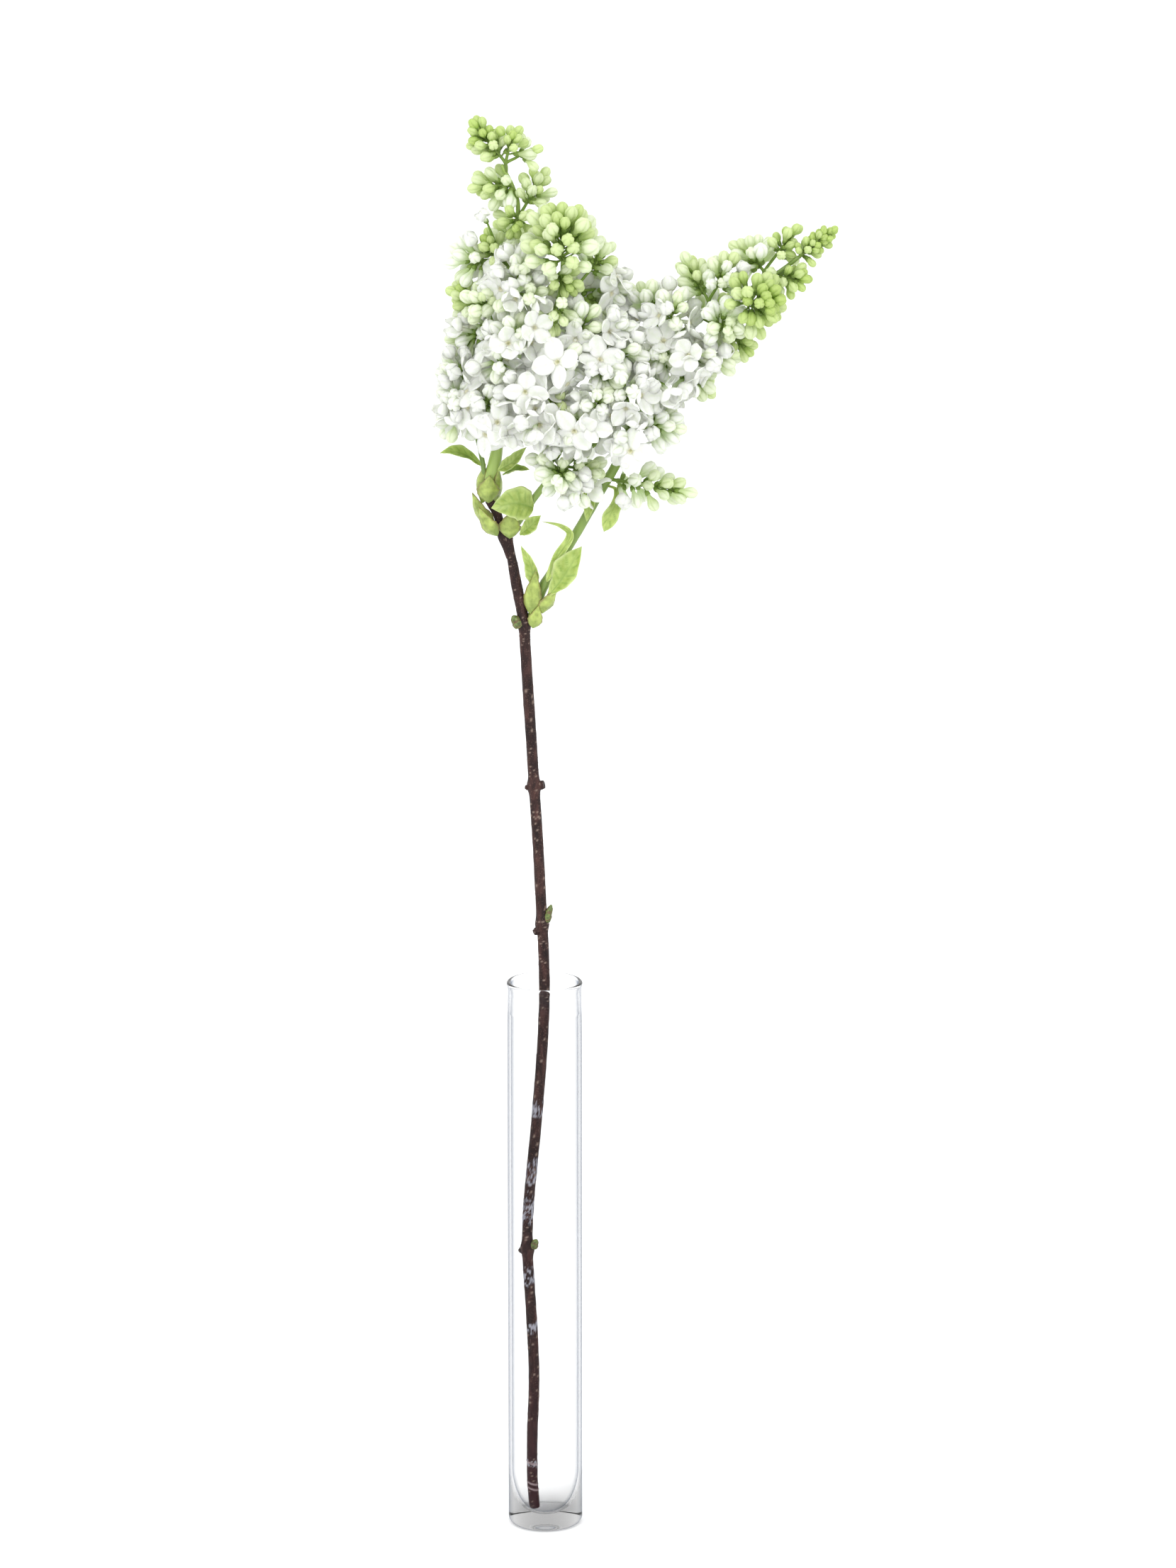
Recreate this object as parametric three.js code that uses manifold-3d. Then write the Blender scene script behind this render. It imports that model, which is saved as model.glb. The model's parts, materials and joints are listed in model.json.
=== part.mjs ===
// A cut branch of white lilac standing in a tall, narrow vase of clear glass.
// Millimetres, +Z up. The origin is the middle of the vase's underside, +X points right and
// +Y points to the back. The branch leans from the front of the vase floor to the back of the rim.
// Each vase, wood, bud, scale, leaf, green shoot and side branch of flowers is one closed solid.
import * as THREE from "three";
import { mergeVertices } from "three/addons/utils/BufferGeometryUtils.js";
import Module from "manifold-3d";

const wasm = await Module();
wasm.setup();

// ---------------------------------------------------------------- driving dimensions
const VASE_HEIGHT = 305;
const VASE_RADIUS = 20;
const VASE_WALL = 2;
const VASE_FLOOR = 5.5; // thickness of the base in the middle of its hollow
const VASE_BOWL = 26; // height of the hollow, where the wall thickens down into the base
const VASE_HEEL = 3; // rounded edge between the underside and the side
const VASE_NECK = 0.4; // how far the side draws in just under the fire-polished rim
const VASE_SIDES = 32;

const STEM_RADIUS = 2.9;
const BRANCHLET_RADIUS = 0.9;
const LEAF_THICKNESS = 0.7;
const SCALE_THICKNESS = 1.1;
const GAP = 0.3; // air kept between neighbouring pieces

// The four ages of a lilac floret, from a green bud to an open star of four petals:
// length from the branchlet to the tip, widest radius, and radius of its corolla tube.
const FLORET_AGES = [
  { length: 8.5, width: 2.6, tube: 0.9 },
  { length: 12, width: 3.1, tube: 1.1 },
  { length: 15, width: 3.9, tube: 1.2 },
  { length: 13, width: 9.5, tube: 1.4 },
];
const OPEN_AGE = 3;
const GOLDEN_ANGLE = Math.PI * (3 - Math.sqrt(5));

const vec = (p) => new THREE.Vector3(p[0], p[1], p[2]);

// ---------------------------------------------------------------- colours and finishes
const finish = (color, roughness) =>
  new THREE.MeshStandardMaterial({ color, roughness, metalness: 0 });

const clearGlass = () => {
  const glass = finish(0xeef4f4, 0.03);
  glass.transparent = true;
  glass.opacity = 0.35;
  return glass;
};
const darkBark = () => finish(0x45332f, 0.75);
const greenBark = () => finish(0x6f9a45, 0.5);
const budGreen = () => finish(0x7d9a45, 0.5);
const leafGreen = () => finish(0xa3c45c, 0.45);
const petalWhite = () => finish(0xf3f6f0, 0.55);
const petalGreen = () => finish(0xc4dd92, 0.5);

// ---------------------------------------------------------------- closed solids

// Joins rings of points, all with the same count, into one closed skin with flat ends.
function skinOfRings(rings) {
  const sides = rings[0].length;
  const position = rings.flat().flatMap((p) => [p.x, p.y, p.z]);
  const index = [];
  for (let r = 0; r + 1 < rings.length; r++) {
    for (let s = 0; s < sides; s++) {
      const a = r * sides + s;
      const b = r * sides + ((s + 1) % sides);
      index.push(a, b, b + sides, a, b + sides, a + sides);
    }
  }
  const last = (rings.length - 1) * sides;
  for (let s = 1; s + 1 < sides; s++) {
    index.push(0, s + 1, s);
    index.push(last, last + s, last + s + 1);
  }
  const geometry = new THREE.BufferGeometry();
  geometry.setAttribute("position", new THREE.Float32BufferAttribute(position, 3));
  geometry.setIndex(index);
  return geometry;
}

function solidFrom(geometry) {
  const bare = geometry.clone();
  bare.deleteAttribute("normal");
  bare.deleteAttribute("uv");
  const merged = mergeVertices(bare, 1e-4);
  const mesh = new wasm.Mesh({
    numProp: 3,
    vertProperties: Float32Array.from(merged.attributes.position.array),
    triVerts: Uint32Array.from(merged.index.array),
  });
  return new wasm.Manifold(mesh);
}

function geometryFrom(solid) {
  const mesh = solid.getMesh();
  const geometry = new THREE.BufferGeometry();
  geometry.setAttribute("position", new THREE.Float32BufferAttribute(mesh.vertProperties, 3));
  geometry.setIndex(Array.from(mesh.triVerts));
  geometry.computeVertexNormals();
  return geometry;
}

const joined = (solids) => solids.reduce((whole, next) => whole.add(next));

const largestBody = (solid) =>
  solid.decompose().reduce((best, body) => (body.volume() > best.volume() ? body : best));

// A round limb along a smooth path. Its radius is given at each point of the path.
function limb({ path, radii, sides, stepsPerSpan, swell = 0 }) {
  const curve = new THREE.CatmullRomCurve3(path.map(vec));
  const steps = (path.length - 1) * stepsPerSpan;
  const rings = [];
  let forward = curve.getTangent(0);
  const across = new THREE.Vector3(0, 1, 0.01).cross(forward).normalize();
  for (let i = 0; i <= steps; i++) {
    const along = i / steps;
    const heading = curve.getTangent(along);
    across.applyQuaternion(new THREE.Quaternion().setFromUnitVectors(forward, heading));
    forward = heading;
    const place = along * (path.length - 1);
    const before = Math.min(Math.floor(place), path.length - 2);
    const radius = swell + THREE.MathUtils.lerp(radii[before], radii[before + 1], place - before);
    const up = heading.clone().cross(across);
    const ring = [];
    for (let s = 0; s < sides; s++) {
      const angle = (2 * Math.PI * s) / sides;
      ring.push(
        curve
          .getPoint(along)
          .addScaledVector(across, radius * Math.cos(angle))
          .addScaledVector(up, radius * Math.sin(angle)),
      );
    }
    rings.push(ring);
  }
  return skinOfRings(rings);
}

// A leaf or bud scale along a curved midrib. `faces` is the way its upper side looks,
// `cup` lifts its edges towards that side and `widest` says where the blade is broadest.
function blade({ path, faces, width, widest, cup, thickness, swell = 0 }) {
  const midrib = new THREE.CatmullRomCurve3(path.map(vec));
  const steps = 5;
  const rings = [];
  for (let i = 0; i <= steps; i++) {
    const along = i / steps;
    const heading = midrib.getTangent(along);
    const side = heading.clone().cross(vec(faces)).normalize();
    const upper = side.clone().cross(heading);
    const swelling = Math.sin(Math.PI * Math.pow(along, Math.log(0.5) / Math.log(widest)));
    const half = 0.5 * width * (0.12 + 0.88 * Math.max(swelling, 0)) * (i === steps ? 0.3 : 1) + swell;
    const middle = 0.5 * thickness + swell;
    const edge = 0.35 * thickness + swell;
    const at = (sideways, lift) =>
      midrib.getPoint(along).addScaledVector(side, sideways).addScaledVector(upper, lift);
    rings.push([
      at(half, cup * half - edge),
      at(0, -middle),
      at(-half, cup * half - edge),
      at(-half, cup * half + edge),
      at(0, middle),
      at(half, cup * half + edge),
    ]);
  }
  return skinOfRings(rings);
}

// A small pointed bud that sits on the wood.
function dormantBud({ foot, tip, radius, swell = 0 }) {
  const path = [0, 0.3, 0.7, 1].map((t) => vec(foot).lerp(vec(tip), t).toArray());
  const radii = [0.7 * radius, radius, 0.75 * radius, 0.15 * radius];
  return limb({ path, radii, sides: 6, stepsPerSpan: 1, swell });
}

// One floret standing on the origin and pointing along +Z, or only its bloom without the stalk.
function floret({ age, size, swell = 0, bloomOnly = false }) {
  const { length, width, tube } = FLORET_AGES[age];
  const sides = age === OPEN_AGE ? 8 : 4;
  const ring = (height, radius, lobe = radius) =>
    Array.from({ length: sides }, (_, s) => {
      const angle = (2 * Math.PI * s) / sides;
      const reach = (s % 2 ? lobe : radius) * size + (radius > 0 ? swell : 0);
      return new THREE.Vector3(reach * Math.cos(angle), reach * Math.sin(angle), height * size);
    });
  const bud = [
    ring(0, 0),
    ring(length - 2.6 * width, tube),
    ring(length - 1.2 * width, width),
    ring(length + swell, 0),
  ];
  const star = [
    ring(0, 0),
    ring(length - 2.5, tube),
    ring(length + swell, width, 0.4 * width),
    ring(length - 1.2 + swell, 0),
  ];
  const rings = age === OPEN_AGE ? star : bud;
  return skinOfRings(bloomOnly ? rings.slice(1) : rings);
}

// ---------------------------------------------------------------- the object, piece by piece
const lilac = new THREE.Group();
const placed = []; // every finished piece, with a slightly swollen copy that later pieces keep out of

function addPiece(name, solid, envelope, material) {
  const mesh = new THREE.Mesh(geometryFrom(solid), material);
  mesh.name = name;
  lilac.add(mesh);
  placed.push({ name, solid, envelope });
}

// Cuts a new shape back from the pieces that are already there, so that none overlap.
function fitted(shape) {
  const trimmed = placed.reduce((left, piece) => left.subtract(piece.envelope), shape);
  return largestBody(trimmed);
}

function addFitted(name, shapeWith, material) {
  addPiece(name, fitted(solidFrom(shapeWith(0))), solidFrom(shapeWith(GAP)), material);
}

// ---- vase: one piece of glass, a straight side on a thick base, its floor hollowed like a bowl
function vaseProfile() {
  const inner = VASE_RADIUS - VASE_WALL;
  const profile = [new THREE.Vector2(0, 0)];
  const arc = (x, z, radius, from, to, steps) => {
    for (let i = 0; i <= steps; i++) {
      const angle = THREE.MathUtils.degToRad(THREE.MathUtils.lerp(from, to, i / steps));
      profile.push(new THREE.Vector2(x + radius * Math.cos(angle), z + radius * Math.sin(angle)));
    }
  };
  arc(VASE_RADIUS - VASE_HEEL, VASE_HEEL, VASE_HEEL, -90, 0, 3);
  profile.push(new THREE.Vector2(VASE_RADIUS - VASE_NECK, VASE_HEIGHT - 7));
  arc(VASE_RADIUS - 0.5 * VASE_WALL, VASE_HEIGHT - 1.2, 1.2, -20, 200, 5);
  profile.push(new THREE.Vector2(inner - VASE_NECK, VASE_HEIGHT - 7));
  for (const degrees of [0, 18, 34, 50, 66, 80]) {
    const angle = THREE.MathUtils.degToRad(degrees);
    const reach = inner * Math.pow(Math.cos(angle), 2 / 3);
    profile.push(new THREE.Vector2(reach, VASE_FLOOR + VASE_BOWL * (1 - Math.sin(angle))));
  }
  profile.push(new THREE.Vector2(0, VASE_FLOOR));
  return profile;
}

const vaseGeometry = new THREE.LatheGeometry(vaseProfile(), VASE_SIDES).rotateX(Math.PI / 2);
const vaseSolid = solidFrom(vaseGeometry);
addPiece("glass_vase", vaseSolid, vaseSolid, clearGlass());

// ---- woody stem: last year's wood with its nodes, one cut stub and the fork at its top
const STEM_PATH = [
  [-6, -5, 9],
  [-7, -5.8, 26],
  [-7, -6.5, 50],
  [-6, -5, 85],
  [-7.5, -1.5, 120],
  [-9.5, 1.5, 155],
  [-9, 3.5, 177],
  [-4.5, 8, 225],
  [-1, 12, 271],
  [-0.2, 13.6, 297],
  [-0.8, 15.3, 322],
  [-1.5, 16, 334],
  [-3.5, 17, 376],
  [-5.5, 17, 408],
  [-7, 16.5, 434],
  [-10, 15, 485],
  [-10.5, 14.5, 496],
  [-14.5, 13.5, 518],
  [-19, 12.5, 544],
];
const NODE_SWELLINGS = { 5: 1.1, 11: 0.9, 13: 0.9, 16: 0.9, 18: 0.3 };
const stemRadii = STEM_PATH.map((_, i) => STEM_RADIUS + (NODE_SWELLINGS[i] ?? 0));
const FORK_PATH = [
  [-17.5, 12.8, 533],
  [-22, 12.6, 546],
  [-24.5, 12.3, 556],
  [-28.5, 12, 564],
  [-29, 11.5, 572],
];
const STUBS = [
  { path: [[-9, 1, 154], [-13.5, 2, 153]], radii: [2, 1.3] },
  { path: [[-2, 15.5, 331], [-5.5, 14, 328]], radii: [2.2, 1.6] },
  { path: [[-5, 17, 408], [-0.5, 16, 408.5]], radii: [2, 2.4] },
  { path: [[-6, 17, 408], [-10, 16.5, 407]], radii: [1.8, 1.2] },
];

const stemLimbs = (swell) =>
  joined(
    [
      { path: STEM_PATH, radii: stemRadii, sides: 8, stepsPerSpan: 1, swell },
      { path: FORK_PATH, radii: [2.4, 2.4, 2.3, 2.5, 2.6], sides: 6, stepsPerSpan: 1, swell },
      ...STUBS.map((stub) => ({ ...stub, sides: 6, stepsPerSpan: 1, swell })),
    ].map((part) => solidFrom(limb(part))),
  );
addPiece("woody_stem", stemLimbs(0), stemLimbs(GAP), darkBark());

// ---- green shoots: this spring's growth, each the axis of a flower head
const SHOOTS = {
  left: {
    path: [
      [-29, 11, 575],
      [-26, 10.5, 583],
      [-24, 9.5, 595],
      [-22.5, 7, 619],
      [-21.5, 6, 642],
      [-20, 5, 668],
      [-16.5, 3, 697],
      [-13, 2, 720],
      [-16, 1, 731],
      [-21.5, 0, 742],
    ],
    radii: [2.8, 2.8, 2.4, 2.0, 1.8, 1.6, 1.4, 1.2, 1.1, 1.0],
  },
  left_side: {
    path: [
      [-31, 10.5, 576],
      [-32.5, 9, 587],
      [-35.5, 6, 601],
      [-38.5, 4, 610],
      [-41, 2, 625],
    ],
    radii: [1.3, 1.3, 1.3, 1.1, 0.9],
  },
  front: {
    path: [
      [-24, 9.5, 593],
      [-18, 3, 601],
      [-10, -3, 615],
      [-0.5, -8, 637],
      [5.5, -14, 666],
      [10, -19, 683],
      [10.5, -25, 696],
    ],
    radii: [1.9, 1.8, 1.7, 1.5, 1.3, 1.2, 1.1],
  },
  middle: {
    path: [
      [-18, 12, 548.5],
      [-14.5, 11, 551],
      [-9.5, 9, 559],
      [0.5, 6, 573],
      [8.5, 3, 582],
      [16.5, -1, 589],
      [28, -5, 597],
      [39.5, -8, 602],
      [51, -11, 607],
    ],
    radii: [1.9, 1.9, 1.9, 1.8, 1.6, 1.4, 1.2, 1.1, 0.9],
  },
  right: {
    path: [
      [-6.5, 14.5, 500],
      [-3.5, 14, 508],
      [-0.5, 13, 517],
      [7.5, 12, 530],
      [22, 9, 555],
      [30, 7, 570],
      [39, 5, 586],
      [51, 3, 616],
      [58.5, 2, 637],
      [64.5, 1.5, 646],
      [79.5, 1, 660],
      [95, 0.5, 670],
      [120.5, 0, 685],
      [133, -1, 694.5],
    ],
    radii: [2.6, 2.6, 2.7, 2.6, 2.5, 2.6, 2.4, 2.2, 2.0, 1.9, 1.7, 1.5, 1.2, 1.0],
  },
};

for (const [name, { path, radii }] of Object.entries(SHOOTS)) {
  const shape = (swell) => limb({ path, radii, sides: 6, stepsPerSpan: 1, swell });
  addFitted(name + "_shoot", shape, greenBark());
}

// ---- buds that stayed closed at the nodes of the wood
const DORMANT_BUDS = {
  lower_bud: { foot: [-6.5, 0.5, 156], tip: [-4.5, -0.5, 160.5], radius: 2 },
  rim_bud: { foot: [0.8, 15.5, 334], tip: [3.6, 15, 343], radius: 1.8 },
  fork_bud: { foot: [-13, 13.5, 496], tip: [-16.5, 12, 501.5], radius: 2.7 },
};
for (const [name, spec] of Object.entries(DORMANT_BUDS)) {
  addFitted(name, (swell) => dormantBud({ ...spec, swell }), budGreen());
}

// ---- bud scales: the outer leaves of the winter buds, short and cupped round a shoot's foot
const BUD_SCALES = {
  left_collar_scale_1: {
    path: [[-29, 9, 563], [-29.5, 5.6, 570], [-28, 6.2, 578.5]],
    faces: [0, 1, 0],
    width: 13,
  },
  left_collar_scale_2: {
    path: [[-33, 13, 563], [-35.8, 11, 572], [-33.5, 9.5, 581.5]],
    faces: [0.8, 0.6, 0],
    width: 9.5,
  },
  left_collar_scale_3: {
    path: [[-25, 12.5, 562.5], [-22.8, 10.6, 570.5], [-23.3, 9.2, 578.5]],
    faces: [-0.7, 0.7, 0],
    width: 9,
  },
  left_bud_scale_1: {
    path: [[-27, 13, 549], [-33.5, 11.5, 556], [-37.5, 9.5, 568]],
    faces: [0.5, 0.8, 0.3],
    width: 10.5,
  },
  left_bud_scale_2: {
    path: [[-24.5, 8.2, 545.5], [-29.5, 5.6, 551], [-34, 5.5, 561]],
    faces: [0.3, 1, 0.2],
    width: 9.5,
  },
  middle_scale: {
    path: [[-18, 8.6, 544], [-17.7, 5.8, 550.5], [-15.5, 6.2, 560]],
    faces: [0, 1, 0.2],
    width: 12.5,
  },
  right_base_scale: {
    path: [[-6, 10, 495.5], [-4.2, 8.6, 500.5], [-2.8, 8.2, 508]],
    faces: [-0.2, 1, 0],
    width: 8.5,
  },
  right_front_scale: {
    path: [[-7, 10, 503], [-6.2, 7.2, 513], [-4.2, 6.8, 527]],
    faces: [0.2, 1, 0],
    width: 10.5,
  },
  right_mid_scale: {
    path: [[-1, 10.5, 503.5], [2.5, 8.2, 508.5], [7, 8.6, 517.5]],
    faces: [-0.5, 0.85, 0.2],
    width: 9.5,
  },
};
for (const [name, spec] of Object.entries(BUD_SCALES)) {
  const shape = (swell) =>
    blade({ ...spec, widest: 0.4, cup: 0.45, thickness: SCALE_THICKNESS, swell });
  addFitted(name, shape, leafGreen());
}

// ---- leaves: the small first leaves of spring under the flower heads
const LEAVES = {
  left_far_leaf: {
    path: [[-33, 8, 583], [-39, 5.5, 588], [-47, 1, 591.5], [-54, -3, 591.5]],
    faces: [0.2, -0.7, 0.8],
    width: 8,
    widest: 0.5,
    cup: 0.4,
  },
  left_inner_leaf: {
    path: [[-24, 6.5, 580.5], [-17, 3.5, 585], [-9, 0, 594]],
    faces: [-0.5, -0.8, 0.4],
    width: 8,
    widest: 0.5,
    cup: 0.35,
  },
  left_low_leaf: {
    path: [[-21.5, 8, 578], [-14.5, 4, 581.5], [-7.5, 1, 582]],
    faces: [0, -0.5, 1],
    width: 7,
    widest: 0.5,
    cup: 0.3,
  },
  middle_front_leaf: {
    path: [[-5.5, 5, 561], [-15, 0.5, 564], [-27.5, 1, 561.5]],
    faces: [0, -1, 0.3],
    width: 18.5,
    widest: 0.42,
    cup: 0.3,
  },
  middle_side_leaf: {
    path: [[-12.5, 8, 546], [-7.5, 5, 550.5], [-1.5, 4, 557]],
    faces: [-0.4, -0.8, 0.4],
    width: 9,
    widest: 0.55,
    cup: 0.35,
  },
  right_slim_leaf: {
    path: [[-5, 11, 517], [-6.5, 9.5, 528], [-12, 8, 540]],
    faces: [-0.4, -0.9, 0],
    width: 8,
    widest: 0.42,
    cup: 0.3,
  },
  right_folded_leaf: {
    path: [[2.5, 8.5, 513], [10.5, 4, 524.5], [20, 4, 540.5]],
    faces: [-0.35, -0.85, 0.3],
    width: 15,
    widest: 0.6,
    cup: 0.5,
  },
  right_wing_leaf: {
    path: [[1.5, 7, 521], [7, 5.5, 534], [14, 3.5, 547], [9, 1, 552], [-1, -2, 555]],
    faces: [-0.3, -1, 0.1],
    width: 5,
    widest: 0.3,
    cup: 0.25,
  },
  right_drooping_leaf: {
    path: [[29, 3.5, 575], [25, 0, 571], [24, -1, 563], [22.5, -2, 555]],
    faces: [-0.4, -0.9, 0],
    width: 7.5,
    widest: 0.55,
    cup: 0.35,
  },
  right_hanging_leaf: {
    path: [[33.5, 3.5, 573], [37.5, 2, 571.5], [38, 0, 565.5], [34.5, -1, 557.5], [31.5, -2, 549.5]],
    faces: [0.4, -0.9, 0],
    width: 10,
    widest: 0.74,
    cup: 0.3,
  },
};
for (const [name, spec] of Object.entries(LEAVES)) {
  addFitted(name, (swell) => blade({ ...spec, thickness: LEAF_THICKNESS, swell }), leafGreen());
}

// ---- flower heads: side branches, each with its florets, on the shoot that bears them
// A head is where a branchlet ends; `span` is the end of it that carries florets, `ripe` runs
// from 0, all green buds, to 3, all open, and `length` stretches or shortens its florets.
const FLOWER_BRANCHES = {
  left_tip: {
    shoot: "left",
    heads: [
      { at: [-32, -2, 759], florets: 16, ripe: 0.25, span: 17 },
      { at: [-17, -3, 754], florets: 6, ripe: 0.6, span: 7 },
      { at: [-10, 0, 748], florets: 3, ripe: 0.9, span: 4 },
    ],
  },
  left_upper_left: {
    shoot: "left",
    heads: [{ at: [-27, 2, 731], florets: 9, ripe: 1.0, span: 11 }],
  },
  left_upper_right: {
    shoot: "left",
    heads: [
      { at: [-3.5, 3, 730], florets: 9, ripe: 1.0, span: 10 },
      { at: [-14.5, -8, 712], florets: 7, ripe: 0.4, span: 8 },
    ],
  },
  left_shoulder: {
    shoot: "left",
    heads: [
      { at: [-27, 0, 699.5], florets: 7, ripe: 0.8, span: 7 },
      { at: [-36, 2, 692], florets: 6, ripe: 2.1, span: 6 },
      { at: [-29, -5, 713], florets: 1, ripe: 2.6, span: 3 },
    ],
  },
  left_upper_front: {
    shoot: "left",
    heads: [
      { at: [-12, -17, 688], florets: 10, ripe: 2.4, span: 9 },
      { at: [-8, -22, 678], florets: 6, ripe: 2.3, span: 8 },
      { at: [-21, -18, 677], florets: 7, ripe: 1.6, span: 8 },
    ],
  },
  left_flank: {
    shoot: "left",
    heads: [
      { at: [-40, 0, 674], florets: 9, ripe: 0.9, span: 10 },
      { at: [-30, -12, 672], florets: 7, ripe: 1.7, span: 8 },
      { at: [-38, 2, 651], florets: 11, ripe: 2.2, span: 11 },
    ],
  },
  left_front_mid: {
    shoot: "left",
    heads: [
      { at: [-13, -25, 657], florets: 12, ripe: 2.4, span: 10 },
      { at: [-22, -23, 643], florets: 8, ripe: 2.3, span: 9 },
    ],
  },
  left_back_high: {
    shoot: "left",
    heads: [
      { at: [-18, 22, 703], florets: 8, ripe: 1.2, span: 8 },
      { at: [-10, 30, 680], florets: 9, ripe: 2.0, span: 10 },
    ],
  },
  left_back_low: {
    shoot: "left",
    heads: [
      { at: [-26, 32, 650], florets: 10, ripe: 2.4, span: 10 },
      { at: [-16, 32, 614], florets: 9, ripe: 2.5, span: 10 },
      { at: [-4, 30, 634], florets: 9, ripe: 2.3, span: 10 },
    ],
  },
  left_outer_low: {
    shoot: "left_side",
    heads: [
      { at: [-43, 0, 637], florets: 11, ripe: 2.3, span: 10 },
      { at: [-43, -5, 620], florets: 8, ripe: 2.2, span: 8 },
      { at: [-45, 0, 608], florets: 3, ripe: 1.9, span: 4 },
    ],
  },
  left_front_low: {
    shoot: "left_side",
    heads: [
      { at: [-27, -18, 621], florets: 10, ripe: 2.4, span: 10 },
      { at: [-22, -26, 610], florets: 8, ripe: 2.8, span: 8 },
    ],
  },
  front_tip: {
    shoot: "front",
    heads: [
      { at: [10, -27, 707], florets: 26, ripe: 1.0, span: 12, length: 1.7 },
      { at: [11, -22, 684], florets: 8, ripe: 1.0, span: 9 },
      { at: [6, -27, 667], florets: 7, ripe: 1.3, span: 8 },
    ],
  },
  front_upper_right: {
    shoot: "front",
    heads: [
      { at: [29, -10, 694], florets: 6, ripe: 1.4, span: 8 },
      { at: [33, -2, 678], florets: 8, ripe: 2.5, span: 9 },
      { at: [25, -9, 672], florets: 8, ripe: 2.3, span: 9 },
    ],
  },
  front_right: {
    shoot: "front",
    heads: [
      { at: [20, -20, 661], florets: 10, ripe: 2.4, span: 10 },
      { at: [34, -14, 658], florets: 9, ripe: 2.4, span: 9 },
      { at: [40, -20, 647], florets: 10, ripe: 2.3, span: 10 },
      { at: [31, -28, 638], florets: 8, ripe: 2.4, span: 9 },
    ],
  },
  front_low: {
    shoot: "front",
    heads: [
      { at: [9, -32, 644], florets: 10, ripe: 2.6, span: 9 },
      { at: [-9, -31, 631], florets: 10, ripe: 2.4, span: 9 },
      { at: [5, -24, 624], florets: 8, ripe: 1.6, span: 9 },
      { at: [-4, -33, 614], florets: 8, ripe: 2.8, span: 8 },
    ],
  },
  front_back: {
    shoot: "front",
    heads: [
      { at: [14, 26, 660], florets: 12, ripe: 2.1, span: 12 },
      { at: [24, 14, 676], florets: 8, ripe: 1.9, span: 10 },
    ],
  },
  middle_low: {
    shoot: "middle",
    heads: [
      { at: [9, -18, 583], florets: 12, ripe: 1.5, span: 9 },
      { at: [4, -14, 591], florets: 5, ripe: 2.2, span: 7 },
      { at: [15, -13, 576], florets: 6, ripe: 2.2, span: 7 },
      { at: [21, -8, 584], florets: 6, ripe: 1.0, span: 7 },
    ],
  },
  middle_front: {
    shoot: "middle",
    heads: [
      { at: [18, -27, 611], florets: 10, ripe: 2.4, span: 9 },
      { at: [28, -29, 623], florets: 9, ripe: 2.2, span: 9 },
    ],
  },
  middle_tip: {
    shoot: "middle",
    heads: [
      { at: [42, -30, 631], florets: 12, ripe: 2.2, span: 8 },
      { at: [60, -17, 608], florets: 12, ripe: 2.3, span: 12 },
      { at: [45, -24, 603], florets: 6, ripe: 2.7, span: 8 },
    ],
  },
  middle_back: {
    shoot: "middle",
    heads: [{ at: [18, 26, 606], florets: 12, ripe: 2.2, span: 12 }],
  },
  right_tip: {
    shoot: "right",
    heads: [{ at: [147, -2, 706], florets: 20, ripe: 0, span: 18, length: 0.8 }],
  },
  right_upper: {
    shoot: "right",
    heads: [
      { at: [126, 3, 702], florets: 7, ripe: 0.5, span: 9 },
      { at: [108, 4, 694], florets: 8, ripe: 1.7, span: 8 },
    ],
  },
  right_under: {
    shoot: "right",
    heads: [{ at: [131, -5, 684], florets: 9, ripe: 0.3, span: 11 }],
  },
  right_front_green: {
    shoot: "right",
    heads: [{ at: [111, -23, 674], florets: 24, ripe: 0.4, span: 11, length: 1.45 }],
  },
  right_upper_mid: {
    shoot: "right",
    heads: [
      { at: [79, 5, 683], florets: 9, ripe: 1.3, span: 10 },
      { at: [94, -3, 686], florets: 9, ripe: 1.7, span: 9 },
    ],
  },
  right_under_mid: {
    shoot: "right",
    heads: [
      { at: [94, -16, 661], florets: 8, ripe: 2.0, span: 8 },
      { at: [102, -5, 650], florets: 7, ripe: 0.6, span: 8 },
    ],
  },
  right_shoulder: {
    shoot: "right",
    heads: [
      { at: [54, 3, 670], florets: 9, ripe: 2.1, span: 10 },
      { at: [67, -10, 667], florets: 8, ripe: 2.3, span: 8 },
      { at: [62, -10, 645], florets: 7, ripe: 2.2, span: 8 },
    ],
  },
  right_front_low: {
    shoot: "right",
    heads: [
      { at: [79, -18, 645], florets: 9, ripe: 2.5, span: 8 },
      { at: [57, -21, 630], florets: 9, ripe: 2.4, span: 8 },
      { at: [80, -4, 630], florets: 10, ripe: 1.5, span: 9 },
      { at: [90, -10, 644], florets: 7, ripe: 1.8, span: 8 },
    ],
  },
  right_back: {
    shoot: "right",
    heads: [
      { at: [62, 26, 634], florets: 9, ripe: 2.3, span: 9 },
      { at: [90, 21, 664], florets: 9, ripe: 1.5, span: 9 },
    ],
  },
  right_low_raceme: {
    shoot: "right",
    heads: [{ at: [66.5, 0, 572], florets: 11, ripe: 1.6, span: 30 }],
  },
};

// Repeatable random numbers from 0 to 1, so that the flower heads grow the same way each time.
function randomFrom(seed) {
  let state = seed;
  return () => {
    state = (state * 1664525 + 1013904223) % 4294967296;
    return state / 4294967296;
  };
}

// The point of a shoot where a side branch leaves it: a little below the branch's own head.
function forkPoint(shoot, target) {
  const curve = new THREE.CatmullRomCurve3(SHOOTS[shoot].path.map(vec));
  const lengths = Array.from({ length: 101 }, (_, i) => i / 100);
  const distance = (t) => curve.getPoint(t).distanceTo(target);
  const nearest = lengths.reduce((best, t) => (distance(t) < distance(best) ? t : best));
  return curve.getPoint(Math.max(nearest - 0.05, 0));
}

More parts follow.
